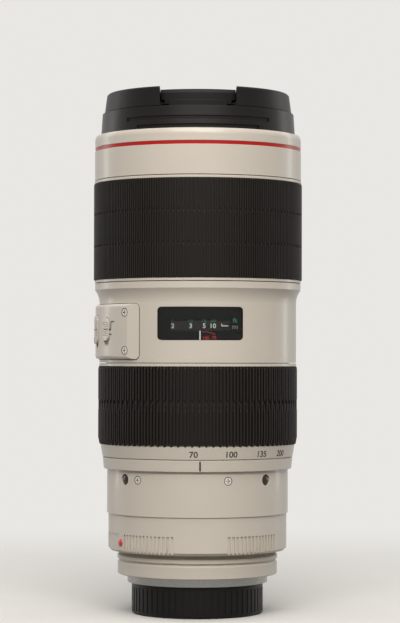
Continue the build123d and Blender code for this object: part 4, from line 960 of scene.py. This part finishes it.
def printed_line(name, points, width, radius_at, colour, body, slot):
    """Print a line of this width through points of (angle, height)."""
    start_angle, start_height = points[0]
    flat = []
    for angle, height in points:
        radius = radius_at(height)
        flat.append(Vector((math.radians(angle - start_angle) * radius, height - start_height)))
    path = [flat[0]]
    for first, second in zip(flat, flat[1:]):
        pieces = max(1, math.ceil((second - first).length / longest_step))
        path += [first.lerp(second, step / pieces) for step in range(1, pieces + 1)]
    vertices, faces = [], []
    for index, point in enumerate(path):
        before = (point - path[index - 1]).normalized() if index else None
        after = (path[index + 1] - point).normalized() if index + 1 < len(path) else None
        along = ((before or after) + (after or before)).normalized()
        half = width / 2 / max(0.5, along.dot(after or before))
        side = Vector((-along.y, along.x)) * half
        for out in (0, ink_thickness):
            vertices += [(*(point + side), out), (*(point - side), out)]
    for index in range(len(path) - 1):
        a = 4 * index
        for low, high in ((0, 1), (3, 2), (2, 0), (1, 3)):
            faces.append((a + low, a + high, a + high + 4, a + low + 4))
    end = 4 * (len(path) - 1)
    faces += [(0, 2, 3, 1), (end, end + 1, end + 3, end + 2)]
    mesh = bpy.data.meshes.new(name)
    mesh.from_pydata(vertices, [], faces)
    wrapped(mesh, start_angle, start_height, radius_at)
    place_piece(name, mesh, colour, body)


print("ink stands", round(ink_thickness / MM, 3), "mm thick")

# %% [markdown]
# The zoom scale is a cone that opens towards the grip, so the ink follows a radius that grows
# with height. Its numbers are focal lengths, which any zoom lens has. The index line below
# them stays on the barrel, on a band that is a slight cone too.

# %% Zoom scale and its index
scale_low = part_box("zoom_ring")[0].z
scale_foot_radius = 40.5 * MM
scale_top_radius = 41.4 * MM
scale_share = (scale_top_radius - scale_foot_radius) / (zoom_low.z - scale_low)


def scale_radius(height):
    return scale_foot_radius + (height - scale_low) * scale_share


number_height = 2.55 * MM
number_middle = scale_low + 2.1 * MM
zoom_numbers = {"70": -2.3, "100": 20.2, "135": 40.8, "200": 57.6}
zoom_print = (scale_radius, black_ink, "zoom", "white_paint")
for words, angle in zoom_numbers.items():
    name = "zoom_number_" + words
    printed_text(name, words, number_height, angle, number_middle, *zoom_print)

index_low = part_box("rear_barrel")[1].z - 4.4 * MM
index_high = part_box("rear_barrel")[1].z - 0.5 * MM
index_angle = 1.5
index_width = 0.7 * MM
band_top_radius = 40.4 * MM
band_widening = 0.4
band_height = 4.8


def index_band_radius(height):
    """The index band widens by 0.4 mm over its height of 4.8 mm."""
    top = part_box("rear_barrel")[1].z
    return band_top_radius - (top - height) * band_widening / band_height


index_line = [(index_angle, index_low), (index_angle, index_high)]
band_print = (index_band_radius, black_ink, "barrel", "white_paint")
printed_line("zoom_index", index_line, index_width, *band_print)
print("zoom scale", " ".join(zoom_numbers))

# %% [markdown]
# The distance scale is printed on the drum, white for metres and green for feet, and the drum
# turns behind a slot in the mask. On the mask are the unit marks, the white index line and, in
# red, the correction for infrared light.

# %% Distance scale
drum_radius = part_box("distance_drum")[1].x
metre_middle = 121.35 * MM
feet_middle = 123.75 * MM
metre_number = 1.95 * MM
feet_number = 1.7 * MM
infinity_width = 0.4 * MM
metre_numbers = {"1.2": -38.6, "1.5": -26.3, "2": -14.9, "3": -4.2, "5": 3.8, "10": 9.2}
feet_numbers = {"4": -38.6, "5": -26.3, "7": -14.9, "10": -4.2, "16": 3.8, "30": 9.2}


drum_surface = cylinder(drum_radius)
metre_print = (drum_surface, white_ink, "drum", "drum_print")
feet_print = (drum_surface, green_ink, "drum", "drum_print")
metre_squeeze = 1.05
for words, angle in metre_numbers.items():
    name = "metres_" + words
    printed_text(name, words, metre_number, angle, metre_middle, *metre_print, metre_squeeze)
for words, angle in feet_numbers.items():
    name = "feet_" + words
    printed_text(name, words, feet_number, angle, feet_middle, *feet_print)
infinity_line = [(14.2, metre_middle + 0.9 * MM), (14.3, metre_middle), (18.2, metre_middle)]
printed_line("infinity_mark", infinity_line, infinity_width, *metre_print)
print("distance scale", " ".join(metre_numbers), "m and", " ".join(feet_numbers), "ft")

# %% [markdown]
# The mask is a bent sheet just in front of the drum, and its marks stay still while the drum
# turns. The unit marks are drawn wider than the typeface has them, as in the photograph.

# %% Marks on the mask
mask_surface = cylinder(41.05 * MM)
green_on_mask = (mask_surface, green_ink, "barrel", "black_anodised")
grey_on_mask = (mask_surface, grey_ink, "barrel", "black_anodised")
white_on_mask = (mask_surface, white_ink, "barrel", "black_anodised")
red_on_mask = (mask_surface, red_ink, "barrel", "black_anodised")
unit_angle = 21.9
unit_squeeze = 1.25
printed_text("unit_ft", "ft", 2.0 * MM, unit_angle, 123.6 * MM, *green_on_mask, unit_squeeze)
printed_text("unit_m", "m", 1.4 * MM, unit_angle, 120.7 * MM, *grey_on_mask, unit_squeeze)

distance_index = [(1.3, 115.6 * MM), (1.3, 119.3 * MM)]
distance_index_width = 0.6 * MM
printed_line("distance_index", distance_index, distance_index_width, *white_on_mask)

infrared_curve = [(2.6, 118.95 * MM), (5.8, 118.75 * MM), (9.2, 118.1 * MM), (10.1, 117.5 * MM)]
infrared_width = 0.25 * MM
infrared_number = 1.3 * MM
printed_line("infrared_curve", infrared_curve, infrared_width, *red_on_mask)
printed_text("infrared_far", "100", infrared_number, 4.9, 116.4 * MM, *red_on_mask)
printed_text("infrared_near", "70", infrared_number, 9.4, 116.5 * MM, *red_on_mask)
print("mask: two unit marks, the index and the infrared marks")

# %% [markdown]
# On the switch panel a bracket points from the two ranges to the index of the first switch. The
# words beside it are left off, so only its plain lines are printed.

# %% Lines on the switch panel
panel_surface = cylinder(43.6 * MM)
panel_print = (panel_surface, black_ink, "barrel", "white_paint")
bracket = [(-53.0, 123.2 * MM), (-55.9, 123.2 * MM), (-56.2, 119.9 * MM), (-57.9, 119.9 * MM)]
bracket_width = 0.6 * MM
printed_line("range_bracket", bracket, bracket_width, *panel_print)
dash = [(-55.4, 118.0 * MM), (-57.6, 118.0 * MM)]
dash_width = 0.55 * MM
printed_line("range_dash", dash, dash_width, *panel_print)
print("panel: a bracket of", len(bracket), "points and a dash")

# %% [markdown]
# The panel is a separate plate with a fine gap all round, and the shadow in that gap shows as a
# dark line. The gap is too narrow to model as a groove, so its shadow is painted: a thin dark line
# of painted shade is laid on the barrel round the plate.

# %% Painted shade in the gap round the switch panel
main_radius = 41.95 * MM
gap_shade_offset = 0.1 * MM
gap_shade_corner = 2.1 * MM
gap_shade_width = 0.2 * MM
corner_steps = 5
panel_angle = -85
panel_half_angle = 50
panel_low, panel_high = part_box("switch_panel")
panel_middle = (panel_low.z + panel_high.z) / 2
half_height = (panel_high.z - panel_low.z) / 2 + gap_shade_offset
half_width = math.radians(panel_half_angle) * main_radius + gap_shade_offset

gap_shade_path = []
for east, north, start in ((1, 1, 0), (-1, 1, 90), (-1, -1, 180), (1, -1, 270)):
    for step in range(corner_steps + 1):
        lean = math.radians(start + 90 // corner_steps * step)
        across = east * (half_width - gap_shade_corner) + gap_shade_corner * math.cos(lean)
        up = north * (half_height - gap_shade_corner) + gap_shade_corner * math.sin(lean)
        gap_shade_path.append((panel_angle + math.degrees(across / main_radius), panel_middle + up))
gap_shade_path.append(gap_shade_path[0])
# The dark line is painted shade, the shadow that falls in the gap.
shade_print = (mask_lacquer_and_shade, "barrel", "black_anodised")
printed_line("panel_gap_shade", gap_shade_path, gap_shade_width, cylinder(main_radius), *shade_print)
gap_size = [round(2 * half / MM, 1) for half in (half_width, half_height)]
print("panel gap", gap_size, "mm round the barrel and along it")

# %% [markdown]
# The small screws sit in counterbores, and the narrow shadow round each head is finer than the
# model. A thin dark ring of painted shade stands for it.

# %% Painted shade round the heads of the small screws
head_shade_radius = 1.65 * MM
head_shade_width = 0.25 * MM
ring_steps = 24
barrel_screw_height = 57.6 * MM
barrel_screw_angles = (-39.9, 19.1, 110.0, -120.0)
seat_surface = cylinder(38.5 * MM)
panel_screw_rise = 7.85 * MM
panel_screw_angles = (-44.0, -126.0)
screw_spots = [(angle, barrel_screw_height, seat_surface) for angle in barrel_screw_angles]
for angle in panel_screw_angles:
    for rise in (-panel_screw_rise, panel_screw_rise):
        screw_spots.append((angle, panel_middle + rise, panel_surface))
# Each ring is a dark line of painted shade round a screw head.
for number, (angle, height, surface) in enumerate(screw_spots, 1):
    radius = surface(height)
    ring = []
    for step in range(ring_steps + 1):
        turn = 2 * math.pi * step / ring_steps
        across = math.degrees(head_shade_radius * math.cos(turn) / radius)
        ring.append((angle + across, height + head_shade_radius * math.sin(turn)))
    printed_line(f"screw_shade_{number}", ring, head_shade_width, surface, *shade_print)
print(len(screw_spots), "screws have a dark ring")

# %% [markdown]
# Each switch has a printed mark across its middle. It slides with its knob, and the marks on the
# panel tell which place it is in.

# %% Marks of the switches
knob_surface = cylinder(44.2 * MM)
switch_angles = (-61.0, -77.0, -93.0, -109.0)
mark_half_angle = 1.9
mark_width = 0.4 * MM
for number, angle in enumerate(switch_angles, 1):
    knob_low, knob_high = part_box(f"switch_{number}")
    knob_middle = (knob_low.z + knob_high.z) / 2
    mark = [(angle - mark_half_angle, knob_middle), (angle + mark_half_angle, knob_middle)]
    knob_print = (knob_surface, black_ink, f"slider_{number}", "switch_plastic")
    printed_line(f"switch_mark_{number}", mark, mark_width, *knob_print)
print(len(switch_angles), "switches are marked")

# %% [markdown]
# The red mounting dot is a small plastic dome pressed into the barrel. It tells where the lens
# meets the camera. It is a cap turned from a few rings and sunk a little, so that no gap shows.

# %% Mounting dot
dot_radius = 1.55 * MM
dot_rise = 0.75 * MM
dot_sink = 0.3 * MM
dot_angle = -57.7
dot_height = 31.0 * MM
barrel_radius = 37.9 * MM
dot_steps = 32
dot_rings = 8
dot_crease = math.radians(50)
points = [(0, 0, dot_rise)]
for ring in range(1, dot_rings + 1):
    lean = math.pi / 2 * ring / dot_rings
    for step in range(dot_steps):
        turn = 2 * math.pi * step / dot_steps
        reach = dot_radius * math.sin(lean)
        points.append((reach * math.cos(turn), reach * math.sin(turn), dot_rise * math.cos(lean)))
points += [(x, y, -dot_sink) for x, y, _ in points[-dot_steps:]]
faces = [(0, 1 + step, 1 + (step + 1) % dot_steps) for step in range(dot_steps)]
for ring in range(dot_rings):
    for step in range(dot_steps):
        row = 1 + ring * dot_steps
        a, b = row + step, row + (step + 1) % dot_steps
        faces.append((a, a + dot_steps, b + dot_steps, b))
faces.append(tuple(range(len(points) - 1, len(points) - 1 - dot_steps, -1)))
dot_mesh = bpy.data.meshes.new("mount_dot")
dot_mesh.from_pydata(points, [], faces)
dot_mesh.polygons.foreach_set("use_smooth", [True] * len(dot_mesh.polygons))
dot_mesh.set_sharp_from_angle(angle=dot_crease)
outward = Vector((math.sin(math.radians(dot_angle)), -math.cos(math.radians(dot_angle)), 0))
sideways = Vector((0, 0, 1)).cross(outward)
for vertex in dot_mesh.vertices:
    across, up, out = vertex.co
    level = Vector((0, 0, dot_height + up))
    vertex.co = outward * (barrel_radius + out) + sideways * across + level
red_plastic, tree, shader, place = new_finish(
    "red_moulded_abs", "#C4161B", 0.25, ior=1.54, coat_weight=0.2
)
cloud = grain(tree, shader, place, 0.5 * MM, 0.002 * MM)
mottled(tree, shader.inputs["Base Color"], cloud, "#BC1318", "#CC1A1E")
place_piece("mount_dot", dot_mesh, red_plastic, "barrel")
print("mounting dot", round(2 * dot_radius / MM, 2), "mm across")
